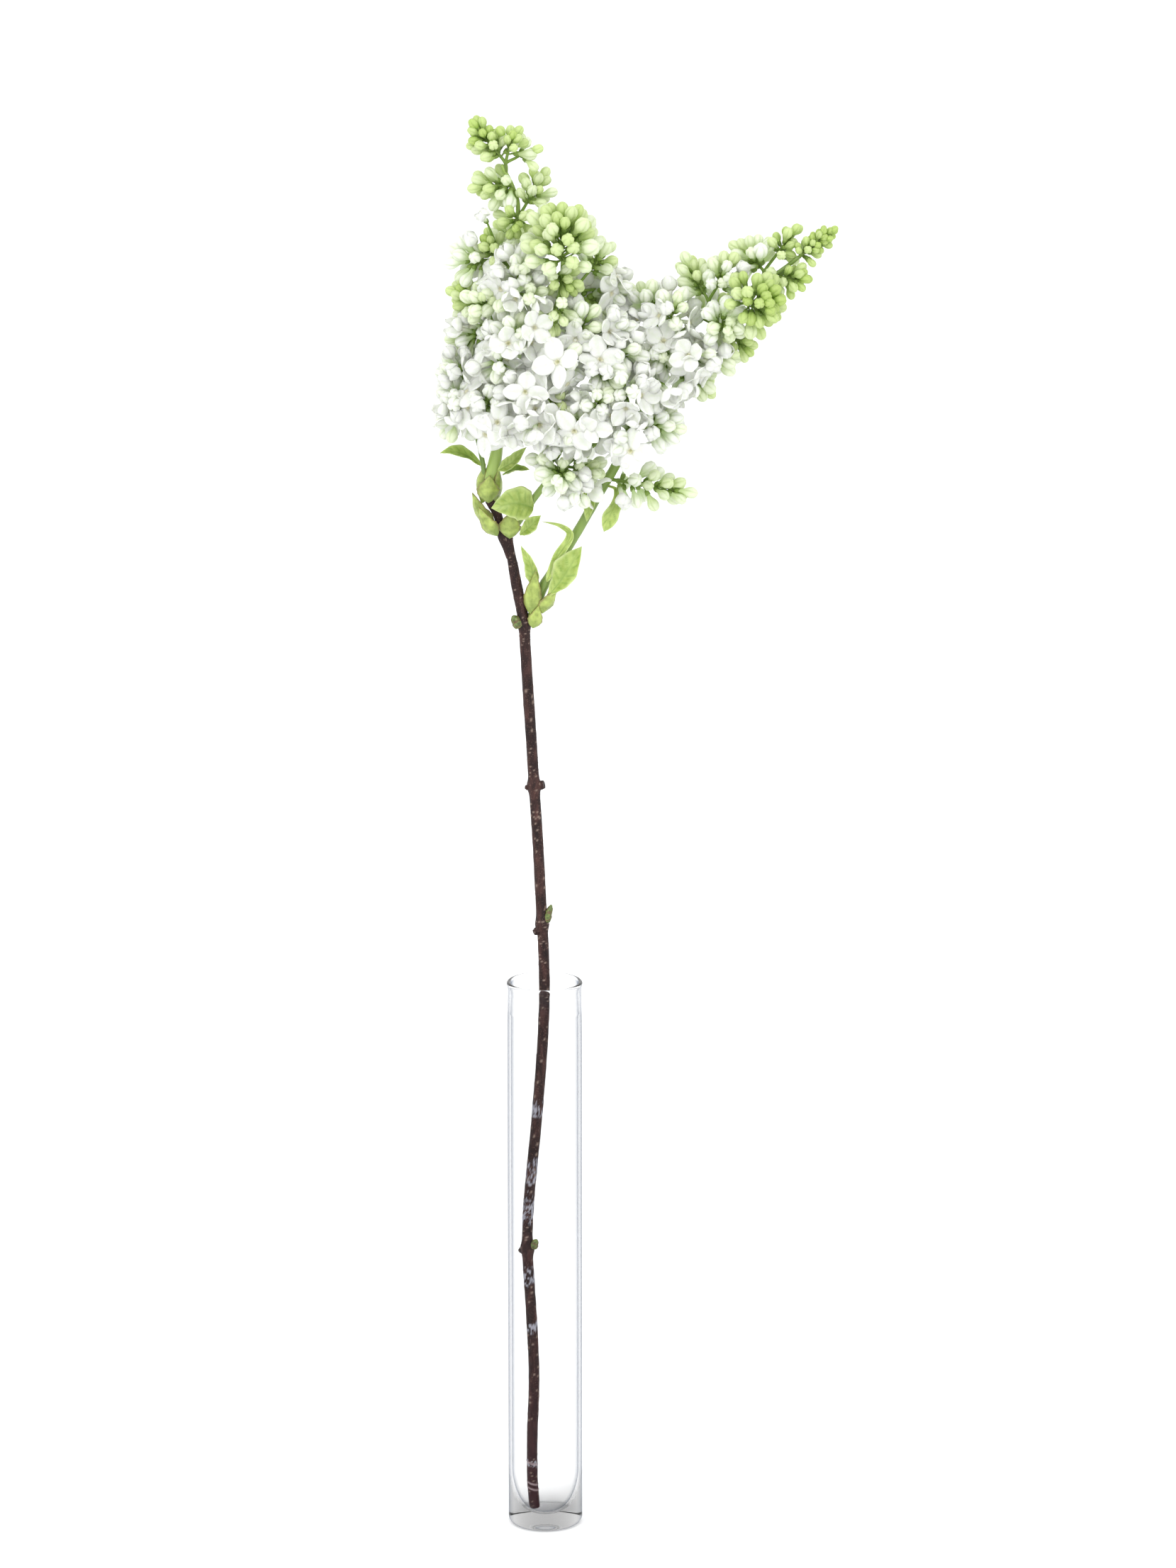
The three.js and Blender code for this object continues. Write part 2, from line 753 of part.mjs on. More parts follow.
// The branchlets of one side branch: a short common foot, then one branchlet to each head.
function branchlets({ shoot, heads }) {
  const targets = heads.map((head) => vec(head.at));
  const middle = targets.reduce((sum, p) => sum.clone().add(p)).divideScalar(targets.length);
  const foot = forkPoint(shoot, middle);
  const fork = foot.clone().lerp(middle, 0.3);
  return targets.map((target) => [foot, fork, fork.clone().lerp(target, 0.55), target]);
}

const branchletLimb = (path, swell) => {
  const radii = [BRANCHLET_RADIUS, BRANCHLET_RADIUS, 0.8, 0.6];
  const points = path.map((p) => p.toArray());
  return solidFrom(limb({ path: points, radii, sides: 4, stepsPerSpan: 1, swell }));
};

// The florets of one head, spread over its branchlet from the tip down by the golden angle.
function floretPlaces({ florets, ripe, span, length = 1 }, path, random) {
  const tip = path[path.length - 1];
  const axis = tip.clone().sub(path[path.length - 2]).normalize();
  const across = new THREE.Vector3(0, 1, 0.2).cross(axis).normalize();
  return Array.from({ length: florets }, (_, k) => {
    const down = (k + 0.5) / florets;
    const lean = Math.acos(1 - 1.05 * down) + 0.2 * (random() - 0.5);
    const turn = k * GOLDEN_ANGLE + 0.4 * (random() - 0.5);
    const direction = axis.clone().applyAxisAngle(across, lean).applyAxisAngle(axis, turn);
    const age = Math.round(ripe + (down - 0.5) + 0.9 * (random() - 0.5));
    return {
      foot: tip.clone().addScaledVector(axis, -span * down),
      direction,
      roll: random() * Math.PI,
      age: THREE.MathUtils.clamp(age, 0, OPEN_AGE),
      size: (0.92 + 0.16 * random()) * length,
    };
  });
}

function standing(geometry, { foot, direction, roll }) {
  const upright = new THREE.Vector3(0, 0, 1);
  const turn = new THREE.Quaternion().setFromUnitVectors(upright, direction);
  return geometry.rotateZ(roll).applyQuaternion(turn).translate(foot.x, foot.y, foot.z);
}

// All branchlets grow first, then the florets fill the room that is left between them.
const branches = Object.entries(FLOWER_BRANCHES).map(([name, spec], number) => {
  const paths = branchlets(spec);
  const wood = fitted(joined(paths.map((path) => branchletLimb(path, 0))));
  const envelope = joined(paths.map((path) => branchletLimb(path, GAP)));
  const branch = { name, spec, paths, solid: wood, envelope, random: randomFrom(number + 1) };
  placed.push(branch);
  return branch;
});

const touches = (solid, others) => others.some((other) => solid.intersect(other).volume() > 0);

const grown = (place, shape) => solidFrom(standing(floret({ ...place, ...shape }), place));

for (const branch of branches) {
  const others = placed.filter((piece) => piece !== branch).map((piece) => piece.solid);
  const blooms = [];
  let ageSum = 0;
  branch.spec.heads.forEach((head, i) => {
    for (const place of floretPlaces(head, branch.paths[i], branch.random)) {
      const bloom = grown(place, { bloomOnly: true });
      const hasRoom = !touches(grown(place, { swell: GAP }), others) && !touches(bloom, blooms);
      if (hasRoom) {
        branch.solid = branch.solid.add(grown(place, {}));
        blooms.push(bloom);
        ageSum += place.age;
      }
    }
  });
  branch.solid = largestBody(branch.solid);
  const petals = ageSum / blooms.length < 1 ? petalGreen() : petalWhite();
  const mesh = new THREE.Mesh(geometryFrom(branch.solid), petals);
  mesh.name = branch.name + "_flowers";
  lilac.add(mesh);
}

export default lilac;
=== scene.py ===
import json
import math

import bpy
import numpy as np
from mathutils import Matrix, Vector, noise


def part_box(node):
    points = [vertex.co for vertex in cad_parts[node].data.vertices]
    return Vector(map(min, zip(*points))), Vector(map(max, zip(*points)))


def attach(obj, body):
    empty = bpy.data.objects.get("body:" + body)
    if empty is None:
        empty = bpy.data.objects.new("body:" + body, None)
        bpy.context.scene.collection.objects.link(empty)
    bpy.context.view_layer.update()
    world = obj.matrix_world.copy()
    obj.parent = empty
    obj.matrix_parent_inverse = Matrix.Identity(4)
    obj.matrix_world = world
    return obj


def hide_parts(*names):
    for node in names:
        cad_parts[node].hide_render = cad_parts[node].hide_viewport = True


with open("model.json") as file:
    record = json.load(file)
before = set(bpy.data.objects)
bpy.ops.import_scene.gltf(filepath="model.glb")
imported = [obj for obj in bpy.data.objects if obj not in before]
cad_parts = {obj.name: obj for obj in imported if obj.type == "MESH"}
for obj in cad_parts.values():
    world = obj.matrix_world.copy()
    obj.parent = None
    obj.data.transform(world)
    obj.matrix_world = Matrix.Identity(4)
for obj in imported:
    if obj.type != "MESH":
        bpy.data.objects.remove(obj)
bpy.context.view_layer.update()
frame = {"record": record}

# ================================================================ view, floor and light
# The vase stands on a wide, pale, matt floor, in soft even light from all round, with a large
# soft panel high on the left in front and a weaker one low on the right. The camera looks down.
MM = 0.001
CAMERA_AT = (0.0232, -3.0, 1.13729)
CAMERA_TILT = math.radians(76.429)
CAMERA_LENS = 133.82
CAMERA_REACH = 200
scene = bpy.context.scene
camera = bpy.data.objects.new("studio_camera", bpy.data.cameras.new("studio_camera"))
scene.collection.objects.link(camera)
scene.camera = camera
camera.location = CAMERA_AT
camera.rotation_euler = (CAMERA_TILT, 0, 0)
camera.data.lens = CAMERA_LENS
camera.data.clip_end = CAMERA_REACH

FLOOR_RADIUS = 40
FLOOR_SIDES = 64
FLOOR_DROP = 0.0002
FLOOR_GLOW = 0.12
floor_mesh = bpy.data.meshes.new("pale_floor")
floor_edge = [2 * math.pi * i / FLOOR_SIDES for i in range(FLOOR_SIDES)]
floor_mesh.from_pydata(
    [(FLOOR_RADIUS * math.cos(a), FLOOR_RADIUS * math.sin(a), -FLOOR_DROP) for a in floor_edge],
    [],
    [tuple(range(FLOOR_SIDES))],
)
floor = bpy.data.objects.new("pale_floor", floor_mesh)
scene.collection.objects.link(floor)
floor_paint = bpy.data.materials.new("pale_matt_floor")
floor_paint.use_nodes = True
floor_shader = floor_paint.node_tree.nodes["Principled BSDF"]
floor_shader.inputs["Base Color"].default_value = (0.80, 0.805, 0.81, 1)
floor_shader.inputs["Roughness"].default_value = 0.9
floor_shader.inputs["Specular IOR Level"].default_value = 0.1
# the floor glows a little, like a light table, so that no deep shade gathers under the glass
floor_shader.inputs["Emission Color"].default_value = (1, 1, 1, 1)
floor_shader.inputs["Emission Strength"].default_value = FLOOR_GLOW
floor_mesh.materials.append(floor_paint)

SURROUND_STRENGTH = 1.34
sky = bpy.data.worlds.new("soft_surround")
sky.use_nodes = True
sky.node_tree.nodes["Background"].inputs["Color"].default_value = (1, 1, 1, 1)
sky.node_tree.nodes["Background"].inputs["Strength"].default_value = SURROUND_STRENGTH
scene.world = sky

PANEL_SIZE = 1.4
LIT_SPOT = Vector((0, 0, 0.5))
SOFT_PANELS = {
    "main_panel": {"at": (-1.3, -1.9, 2.3), "watts": 30},
    "fill_panel": {"at": (1.6, -2.0, 1.5), "watts": 16},
}
for name, light in SOFT_PANELS.items():
    panel = bpy.data.objects.new(name, bpy.data.lights.new(name, "AREA"))
    panel.data.shape = "SQUARE"
    panel.data.size = PANEL_SIZE
    panel.data.energy = light["watts"]
    panel.location = light["at"]
    panel.rotation_euler = (LIT_SPOT - panel.location).to_track_quat("-Z", "Y").to_euler()
    scene.collection.objects.link(panel)
scene.view_settings.view_transform = "Standard"

# ================================================================ the vase
# A tall cylinder of clear pressed glass, made in one piece with a thick base. The inside of
# the base is hollowed like a bowl, and the rim was melted round in a flame.
vase_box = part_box("glass_vase")
VASE_HEIGHT = vase_box[1].z
VASE_RADIUS = vase_box[1].x
VASE_WALL = 2 * MM
VASE_FLOOR = 5.5 * MM
VASE_BOWL = 26 * MM
VASE_HEEL = 3 * MM
VASE_NECK = 0.4 * MM
VASE_SIDES = 96
RIM_ROUNDING = 1.2 * MM
AXIS_GAP = 0.05 * MM  # the rings stop just short of the axis, and a fan of triangles closes them


class Skin:
    """The surface of one piece: its points, its faces, and the marks that its finish reads."""

    def __init__(self):
        self.points = []
        self.faces = []
        self.marks = {}
        self.count = 0

    def add(self, points, faces, **marks):
        for name in set(self.marks) | set(marks):
            held = self.marks.setdefault(name, [np.zeros(self.count)])
            held.append(np.broadcast_to(marks.get(name, 0.0), len(points)))
        self.points.append(np.asarray(points, float))
        self.faces += [block + self.count for block in faces]
        self.count += len(points)


def closed_rings(rings):
    """Joins rings of points into one skin, with a fan of triangles over each end."""
    steps, sides = rings.shape[:2]
    step, side = np.meshgrid(np.arange(steps - 1), np.arange(sides), indexing="ij")
    a = (step * sides + side).ravel()
    b = (step * sides + (side + 1) % sides).ravel()
    round_about = np.arange(sides)
    onward = (round_about + 1) % sides
    last = (steps - 1) * sides
    first_middle = np.full(sides, steps * sides)
    faces = [
        np.stack([a, b, b + sides, a + sides], 1),
        np.stack([onward, round_about, first_middle], 1),
        np.stack([last + round_about, last + onward, first_middle + 1], 1),
    ]
    points = np.vstack([rings.reshape(-1, 3), rings[0].mean(0), rings[-1].mean(0)])
    return points, faces


def make_piece(name, skin, finish, slot, *nodes):
    """Makes one piece of the object that stands for the CAD nodes of the same place."""
    mesh = bpy.data.meshes.new(name)
    faces = [face for block in skin.faces for face in block.tolist()]
    mesh.from_pydata(np.vstack(skin.points).tolist(), [], faces)
    for mark, values in skin.marks.items():
        layer = mesh.attributes.new(mark, "FLOAT", "POINT")
        layer.data.foreach_set("value", np.concatenate(values).astype(np.float32))
    mesh.polygons.foreach_set("use_smooth", np.ones(len(mesh.polygons), bool))
    mesh.materials.append(finish)
    mesh.update()
    piece = bpy.data.objects.new(name, mesh)
    scene.collection.objects.link(piece)
    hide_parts(*nodes)
    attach(piece, "root")
    return piece


def arc(r, z, radius, start, end, steps):
    """Points on an arc of a profile, whose middle is at `r` from the axis and at height `z`."""
    angles = np.radians(np.linspace(start, end, steps + 1))
    return [(r + radius * math.cos(a), z + radius * math.sin(a)) for a in angles]


vase_inner = VASE_RADIUS - VASE_WALL
vase_profile = [
    # the underside, hollowed a little inside the ring it stands on
    (AXIS_GAP, 0.8 * MM),
    (6 * MM, 0.75 * MM),
    (11 * MM, 0.55 * MM),
    (14.5 * MM, 0.2 * MM),
    # the rounded heel and the outer wall, drawn in to a slight neck
    *arc(VASE_RADIUS - VASE_HEEL, VASE_HEEL, VASE_HEEL, -90, 0, 10),
    *[(VASE_RADIUS, z) for z in np.linspace(8 * MM, VASE_HEIGHT - 40 * MM, 16)],
    (VASE_RADIUS - 0.1 * MM, VASE_HEIGHT - 22 * MM),
    (VASE_RADIUS - VASE_NECK, VASE_HEIGHT - 7 * MM),
    (VASE_RADIUS - 0.9 * VASE_NECK, VASE_HEIGHT - 3.5 * MM),
    # the melted rim, then down the inner wall into the bowl
    *arc(VASE_RADIUS - 0.5 * VASE_WALL, VASE_HEIGHT - RIM_ROUNDING, RIM_ROUNDING, -20, 200, 16),
    (vase_inner - 0.9 * VASE_NECK, VASE_HEIGHT - 3.5 * MM),
    (vase_inner - VASE_NECK, VASE_HEIGHT - 7 * MM),
    (vase_inner - 0.1 * MM, VASE_HEIGHT - 22 * MM),
    *[(vase_inner, z) for z in np.linspace(VASE_HEIGHT - 40 * MM, VASE_FLOOR + VASE_BOWL + 6 * MM, 16)],
    *[
        (vase_inner * math.cos(a) ** (2 / 3), VASE_FLOOR + VASE_BOWL * (1 - math.sin(a)))
        for a in np.radians(np.linspace(0, 89, 30))
    ],
    (AXIS_GAP, VASE_FLOOR),
]
turn = np.linspace(0, 2 * math.pi, VASE_SIDES, endpoint=False)
vase_rings = []
for r, z in vase_profile:
    # pressed glass is never quite round: its thickness drifts by a few hundredths
    drift = 1 + 0.0012 * np.sin(2 * turn + 19 * z) + 0.0006 * np.sin(5 * turn - 40 * z)
    reach = r * drift
    vase_rings.append(np.stack([reach * np.cos(turn), reach * np.sin(turn), np.full(VASE_SIDES, z)], 1))
vase_skin = Skin()
vase_skin.add(*closed_rings(np.array(vase_rings)))


class Finish:
    """A procedural finish: one shader, and short ways to add nodes and lead them into it."""

    def __init__(self, name, **fixed):
        self.material = bpy.data.materials.new(name)
        self.material.use_nodes = True
        self.tree = self.material.node_tree
        self.shader = self.tree.nodes["Principled BSDF"]
        for socket, value in fixed.items():
            self.shader.inputs[socket.replace("_", " ")].default_value = value

    def node(self, kind, inputs=(), **settings):
        made = self.tree.nodes.new("ShaderNode" + kind)
        for name, value in settings.items():
            setattr(made, name, value)
        for socket, value in dict(inputs).items():
            self.lead(value, made.inputs[socket])
        return made

    def lead(self, value, socket):
        """Sets a socket to a plain value, or links it to an output socket or a node's first output."""
        if isinstance(value, bpy.types.Node):
            value = value.outputs[0]
        if isinstance(value, bpy.types.NodeSocket):
            self.tree.links.new(value, socket)
        else:
            socket.default_value = value

    def mark(self, name):
        """The numbers that the mesh carries under this name."""
        return self.node("Attribute", attribute_name=name).outputs["Fac"]

    def grain(self, scale, detail=4.0, stretch=(1, 1, 1)):
        """Fine noise in the object's own space, from 0 to 1. `stretch` squeezes it along an axis."""
        place = self.node("TexCoord").outputs["Object"]
        mapped = self.node("Mapping", {"Vector": place, "Scale": stretch})
        return self.node("TexNoise", {"Vector": mapped, "Scale": scale, "Detail": detail})

    def height(self):
        """The height of a point above the floor, in metres."""
        place = self.node("TexCoord").outputs["Object"]
        return self.node("SeparateXYZ", {"Vector": place}).outputs["Z"]

    def ramp(self, value, *stops):
        """Colours by value: each stop is (position, red, green, blue)."""
        made = self.node("ValToRGB", {"Fac": value})
        points = made.color_ramp.elements
        while len(points) < len(stops):
            points.new(0.5)
        for point, stop in zip(points, stops):
            point.position = stop[0]
            point.color = (*stop[1:], 1)
        return made.outputs["Color"]

    def blend(self, share, below, above):
        """One colour over another; `share` is how much of the upper one shows."""
        made = self.node("Mix", data_type="RGBA")
        self.lead(share, made.inputs[0])
        self.lead(below, made.inputs[6])
        self.lead(above, made.inputs[7])
        return made.outputs[2]

    def maths(self, operation, *values):
        """A number worked out from others, such as MULTIPLY."""
        made = self.node("Math", operation=operation)
        for value, socket in zip(values, made.inputs):
            self.lead(value, socket)
        return made.outputs[0]

    def relief(self, height, distance, strength=1.0):
        """Fine bumps that catch the light; `distance` is how deep they are, in metres."""
        bump = self.node("Bump", {"Height": height, "Distance": distance, "Strength": strength})
        self.lead(bump, self.shader.inputs["Normal"])

    def colour(self, value):
        self.lead(value, self.shader.inputs["Base Color"])

    def let_light_through(self, colour, share):
        """Makes a thin blade glow softly when it is lit from behind."""
        behind = self.node("BsdfTranslucent", {"Color": colour})
        both = self.node("MixShader", {"Fac": share})
        self.tree.links.new(self.shader.outputs[0], both.inputs[1])
        self.tree.links.new(behind.outputs[0], both.inputs[2])
        self.tree.links.new(both.outputs[0], self.tree.nodes["Material Output"].inputs["Surface"])


WALL_BEND = 1.12
RIM_BEND = 1.5
clear_glass = Finish(
    "clear_glass",
    Base_Color=(1, 1, 1, 1),
    IOR=WALL_BEND,
    Transmission_Weight=1.0,
    Specular_Tint=(0.08, 0.085, 0.1, 1),
)
smear = clear_glass.grain(60, 3, (1, 1, 0.35))
clear_glass.lead(
    clear_glass.ramp(smear, (0.55, 0.0, 0.0, 0.0), (0.85, 0.008, 0.008, 0.008)),
    clear_glass.shader.inputs["Roughness"],
)
# painted shade: the glass's colour turns grey, then nearly black, where it is seen edge on. It stands in
# for the dark lines that reflections draw along its walls and rim
edge_on_painted_shade = clear_glass.node("LayerWeight", {"Blend": 0.5}).outputs["Facing"]
clear_glass.colour(
    clear_glass.ramp(
        edge_on_painted_shade,
        (0.5, 1.0, 1.0, 1.0),
        (0.78, 0.20, 0.23, 0.29),
        (1.0, 0.03, 0.04, 0.06),
    )
)
# the melted rim bends light most, and shows as a bright line in front of the stem
below_rim = {"From Min": 0.288, "From Max": 0.298, "To Min": WALL_BEND, "To Max": RIM_BEND}
bend = clear_glass.node("MapRange", {"Value": clear_glass.height(), **below_rim})
clear_glass.lead(bend.outputs["Result"], clear_glass.shader.inputs["IOR"])
glass_depth = clear_glass.node("VolumeAbsorption", {"Color": (0.80, 0.80, 0.80, 1), "Density": 120})
clear_glass.tree.links.new(
    glass_depth.outputs[0], clear_glass.tree.nodes["Material Output"].inputs["Volume"]
)
make_piece("clear_vase", vase_skin, clear_glass.material, "glass", "glass_vase")

# ================================================================ the woody stem
# Last year's wood, cut with a slanting foot. Its bark is dark brown and speckled with pale
# corky pores; old leaf scars make knobs in pairs, and silvery skin peels off in places.

# The paths and radii of all that grew are in millimetres.
STEM_PATH = [
    (-6, -5, 8.7), (-7, -5.8, 26), (-7, -6.5, 50), (-6, -5, 85), (-7.5, -1.5, 120),
    (-9.5, 1.5, 155), (-9, 3.5, 177), (-4.5, 8, 225), (-1, 12, 271), (-0.2, 13.6, 297),
    (-0.8, 15.3, 322), (-1.5, 16, 334), (-3.5, 17, 376), (-5.5, 17, 408), (-7, 16.5, 434),
    (-10, 15, 485), (-10.5, 14.5, 496), (-14.5, 13.5, 518), (-19, 12.5, 544),
]
STEM_RADIUS = 2.9
STEM_TOP_RADIUS = 2.1
NODE_HEIGHTS = {155: 1.1, 332: 0.9, 408: 1.0, 497: 0.9, 544: 0.5}
FORK_PATH = [
    (-17.5, 12.8, 533),
    (-22, 12.6, 546),
    (-24.5, 12.3, 556),
    (-28.5, 12, 564),
    (-29, 11.5, 572),
]
STUBS = [
    {"path": [(-8.5, 1.5, 153), (-12.5, 2, 153.5), (-14, 2, 154.5)], "radii": [2.4, 1.7, 1.2]},
    {"path": [(-2, 15.5, 330), (-4.5, 14.3, 328.5), (-5.8, 13.8, 328)], "radii": [2.6, 2.1, 1.5]},
    {"path": [(-5, 17, 407.5), (-2, 16.4, 408.5), (-0.2, 16, 409)], "radii": [2.3, 2.5, 2.2]},
    {"path": [(-6, 17, 408), (-9, 16.6, 407.3), (-10.3, 16.4, 407.5)], "radii": [2.2, 1.6, 0.9]},
]
NODE_REACH = 3.2
RIDGE_HEIGHT = 0.13
WRINKLE_HEIGHT = 0.06
PORE_HEIGHT = 0.16
FLAKE_HEIGHT = 0.14
RING_HEIGHT = 0.2
FLAKE_HEIGHTS = {231: 5, 197: 8, 177: 9, 140: 6, 112: 4, 35: 3}
RING_HEIGHTS = (20.3, 23.5, 35.5)
PORES = 420


def smooth_route(path, steps):
    """A smooth line through the points, as the wood and the shoots grow, in steps for each span."""
    points = np.array(path, float)
    points = np.vstack([2 * points[0] - points[1], points, 2 * points[-1] - points[-2]])
    t = (np.arange(steps) / steps)[:, None]
    route = []
    for i in range(1, len(points) - 2):
        before, start, end, after = points[i - 1 : i + 3]
        pairs = ((before, start), (start, end), (end, after))
        first, span, last = [math.sqrt(np.linalg.norm(b - a)) for a, b in pairs]
        leaving = (start - before) / first - (end - before) / (first + span) + (end - start) / span
        arriving = (end - start) / span - (after - start) / (span + last) + (after - end) / last
        route.append(
            (2 * t**3 - 3 * t**2 + 1) * start
            + (t**3 - 2 * t**2 + t) * leaving * span
            + (3 * t**2 - 2 * t**3) * end
            + (t**3 - t**2) * arriving * span
        )
    return np.vstack([*route, points[-2]])


def unit(vectors):
    """The vectors at a length of one."""
    return vectors / np.maximum(np.linalg.norm(vectors, axis=-1, keepdims=True), 1e-12)


def directions_along(route):
    """The heading at each point of a route, and two directions square to it that don't twist."""
    heading = unit(np.gradient(route, axis=0))
    across = np.zeros_like(heading)
    across[0] = unit(np.cross((0, 1, 0.01), heading[0]))
    for i in range(1, len(route)):
        carried = across[i - 1] - heading[i] * np.dot(across[i - 1], heading[i])
        across[i] = unit(carried)
    return heading, across, np.cross(heading, across)


def limb_rings(route, radii, sides):
    """Rings round a route. `radii` has one row for each ring, or a number for each of its points."""
    _, across, up = directions_along(route)
    angle = np.linspace(0, 2 * math.pi, sides, endpoint=False)
    radii = np.broadcast_to(np.asarray(radii, float).reshape(len(route), -1), (len(route), sides))
    sideways = across[:, None] * np.cos(angle)[None, :, None]
    upward = up[:, None] * np.sin(angle)[None, :, None]
    return route[:, None] + (sideways + upward) * radii[..., None]


def radii_along(radii, steps):
    """Radii given at the points of a path, eased between them for every ring."""
    place = np.linspace(0, len(radii) - 1, (len(radii) - 1) * steps + 1)
    low = np.minimum(place.astype(int), len(radii) - 2)
    share = place - low
    share = share * share * (3 - 2 * share)
    radii = np.array(radii, float)
    return radii[low] * (1 - share) + radii[low + 1] * share


def lumps(points, scale, seed):
    """Smooth random heights at points, from about -1 to 1. `scale` is per axis, per millimetre."""
    spread = np.asarray(points) * scale + seed
    return np.array([noise.noise(p) for p in spread.reshape(-1, 3)]).reshape(spread.shape[:-1])


def add_wood(skin, path, radii, steps, sides, rng, pores, cut=1.0):
    """One limb of wood with ridged bark, pores, flakes and rings; `cut` is 1 for sawn ends."""
    route = smooth_route(path, steps)
    base = radii_along(radii, steps)
    for height, swelling in NODE_HEIGHTS.items():
        if len(path) > 3:
            base = base + swelling * np.exp(-(((route[:, 2] - height) / NODE_REACH) ** 2))
    flat = limb_rings(route, base, sides)
    ridges = lumps(flat, (0.9, 0.9, 0.16), 3.1) * RIDGE_HEIGHT
    ridges = ridges + lumps(flat, (2.4, 2.4, 1.1), 9.7) * WRINKLE_HEIGHT
    height = flat[..., 2]
    pore = np.zeros(height.shape)
    spots = rng.integers(0, len(route), pores)
    for spot, turn_at, width in zip(spots, rng.random(pores) * sides, 0.8 + 0.8 * rng.random(pores)):
        rows = slice(max(spot - 3, 0), spot + 4)
        aside = (np.arange(sides) - turn_at + sides / 2) % sides - sides / 2
        aside = aside * 2 * math.pi * STEM_RADIUS / sides
        along = np.linalg.norm(route[rows] - route[spot], axis=1)
        shape = np.exp(-((aside[None] / (0.45 * width)) ** 2) - (along[:, None] / 0.32) ** 2)
        pore[rows] = np.maximum(pore[rows], shape)
    flake = np.zeros(height.shape)
    ragged = lumps(flat, (0.7, 0.7, 0.35), 21.3) + 0.5 * lumps(flat, (2.2, 2.2, 1.3), 5.0)
    for level, reach in FLAKE_HEIGHTS.items():
        window = np.exp(-(((height - level) / reach) ** 2))
        flake = np.maximum(flake, np.clip((ragged * 1.5 + 0.55) * window * 4 - 1.8, 0, 1))
    ring = np.zeros(height.shape)
    for level in RING_HEIGHTS:
        tilt = 0.35 * (flat[..., 0] - route[:, None, 0])
        ring = np.maximum(ring, np.exp(-(((height - level + tilt) / 0.45) ** 2)))
    relief = ridges + PORE_HEIGHT * pore + FLAKE_HEIGHT * flake + RING_HEIGHT * ring
    rings = limb_rings(route, base[:, None] + relief, sides)
    closing = [rings[-1].mean(0) + (rings[-1] - rings[-1].mean(0)) * k for k in (0.8, 0.45)]
    opening = [rings[0].mean(0) + (rings[0] - rings[0].mean(0)) * k for k in (0.5, 0.82)]
    rings = np.concatenate([opening, rings, closing])
    points, faces = closed_rings(rings * MM)

    def spread(values, ends=0.0):
        edge = np.full((2, sides), ends)
        return np.append(np.concatenate([edge, values, 0 * edge]).ravel(), (ends, 0))

    skin.add(
        points,
        faces,
        pore=spread(pore),
        flake=spread(flake),
        ring=spread(ring),
        cut=spread(0 * pore, cut),
    )


stem_skin = Skin()
stem_rng = np.random.default_rng(11)
stem_radii = [STEM_RADIUS] * (len(STEM_PATH) - 1) + [STEM_TOP_RADIUS]
add_wood(stem_skin, STEM_PATH, stem_radii, 36, 36, stem_rng, PORES)
add_wood(stem_skin, FORK_PATH, [2.4, 2.4, 2.3, 2.5, 2.6], 12, 28, stem_rng, 20, 0.0)
for stub in STUBS:
    add_wood(stem_skin, stub["path"], stub["radii"], 8, 24, stem_rng, 3, 0.0)

bark = Finish("speckled_bark", Roughness=0.6, Specular_IOR_Level=0.22)
bark_patches = bark.grain(330, 6, (1, 1, 0.3))
bark_colour = bark.ramp(
    bark_patches,
    (0.30, 0.009, 0.004, 0.004),
    (0.50, 0.022, 0.009, 0.008),
    (0.72, 0.060, 0.026, 0.022),
)
specks = bark.grain(1500, 2)
bark_colour = bark.blend(
    bark.ramp(specks, (0.60, 0, 0, 0), (0.70, 0.55, 0.55, 0.55)), bark_colour, (0.16, 0.095, 0.075, 1)
)
# the bark is darker towards its foot: darkest up to about 2 cm, fading out by 11 cm
foot_darkening_share = bark.ramp(bark.height(), (0.018, 0.75, 0.75, 0.75), (0.11, 0, 0, 0))
bark_colour = bark.blend(foot_darkening_share, bark_colour, (0.030, 0.007, 0.011, 1))
bark_colour = bark.blend(bark.mark("pore"), bark_colour, (0.22, 0.16, 0.13, 1))
bark_colour = bark.blend(bark.mark("flake"), bark_colour, (0.27, 0.27, 0.31, 1))
bark_colour = bark.blend(bark.mark("ring"), bark_colour, (0.34, 0.26, 0.27, 1))
bark_colour = bark.blend(bark.mark("cut"), bark_colour, (0.42, 0.27, 0.15, 1))
bark.colour(bark_colour)
bark.relief(bark_patches, 0.0004, 0.6)
make_piece("bark_stem", stem_skin, bark.material, "bark", "woody_stem")

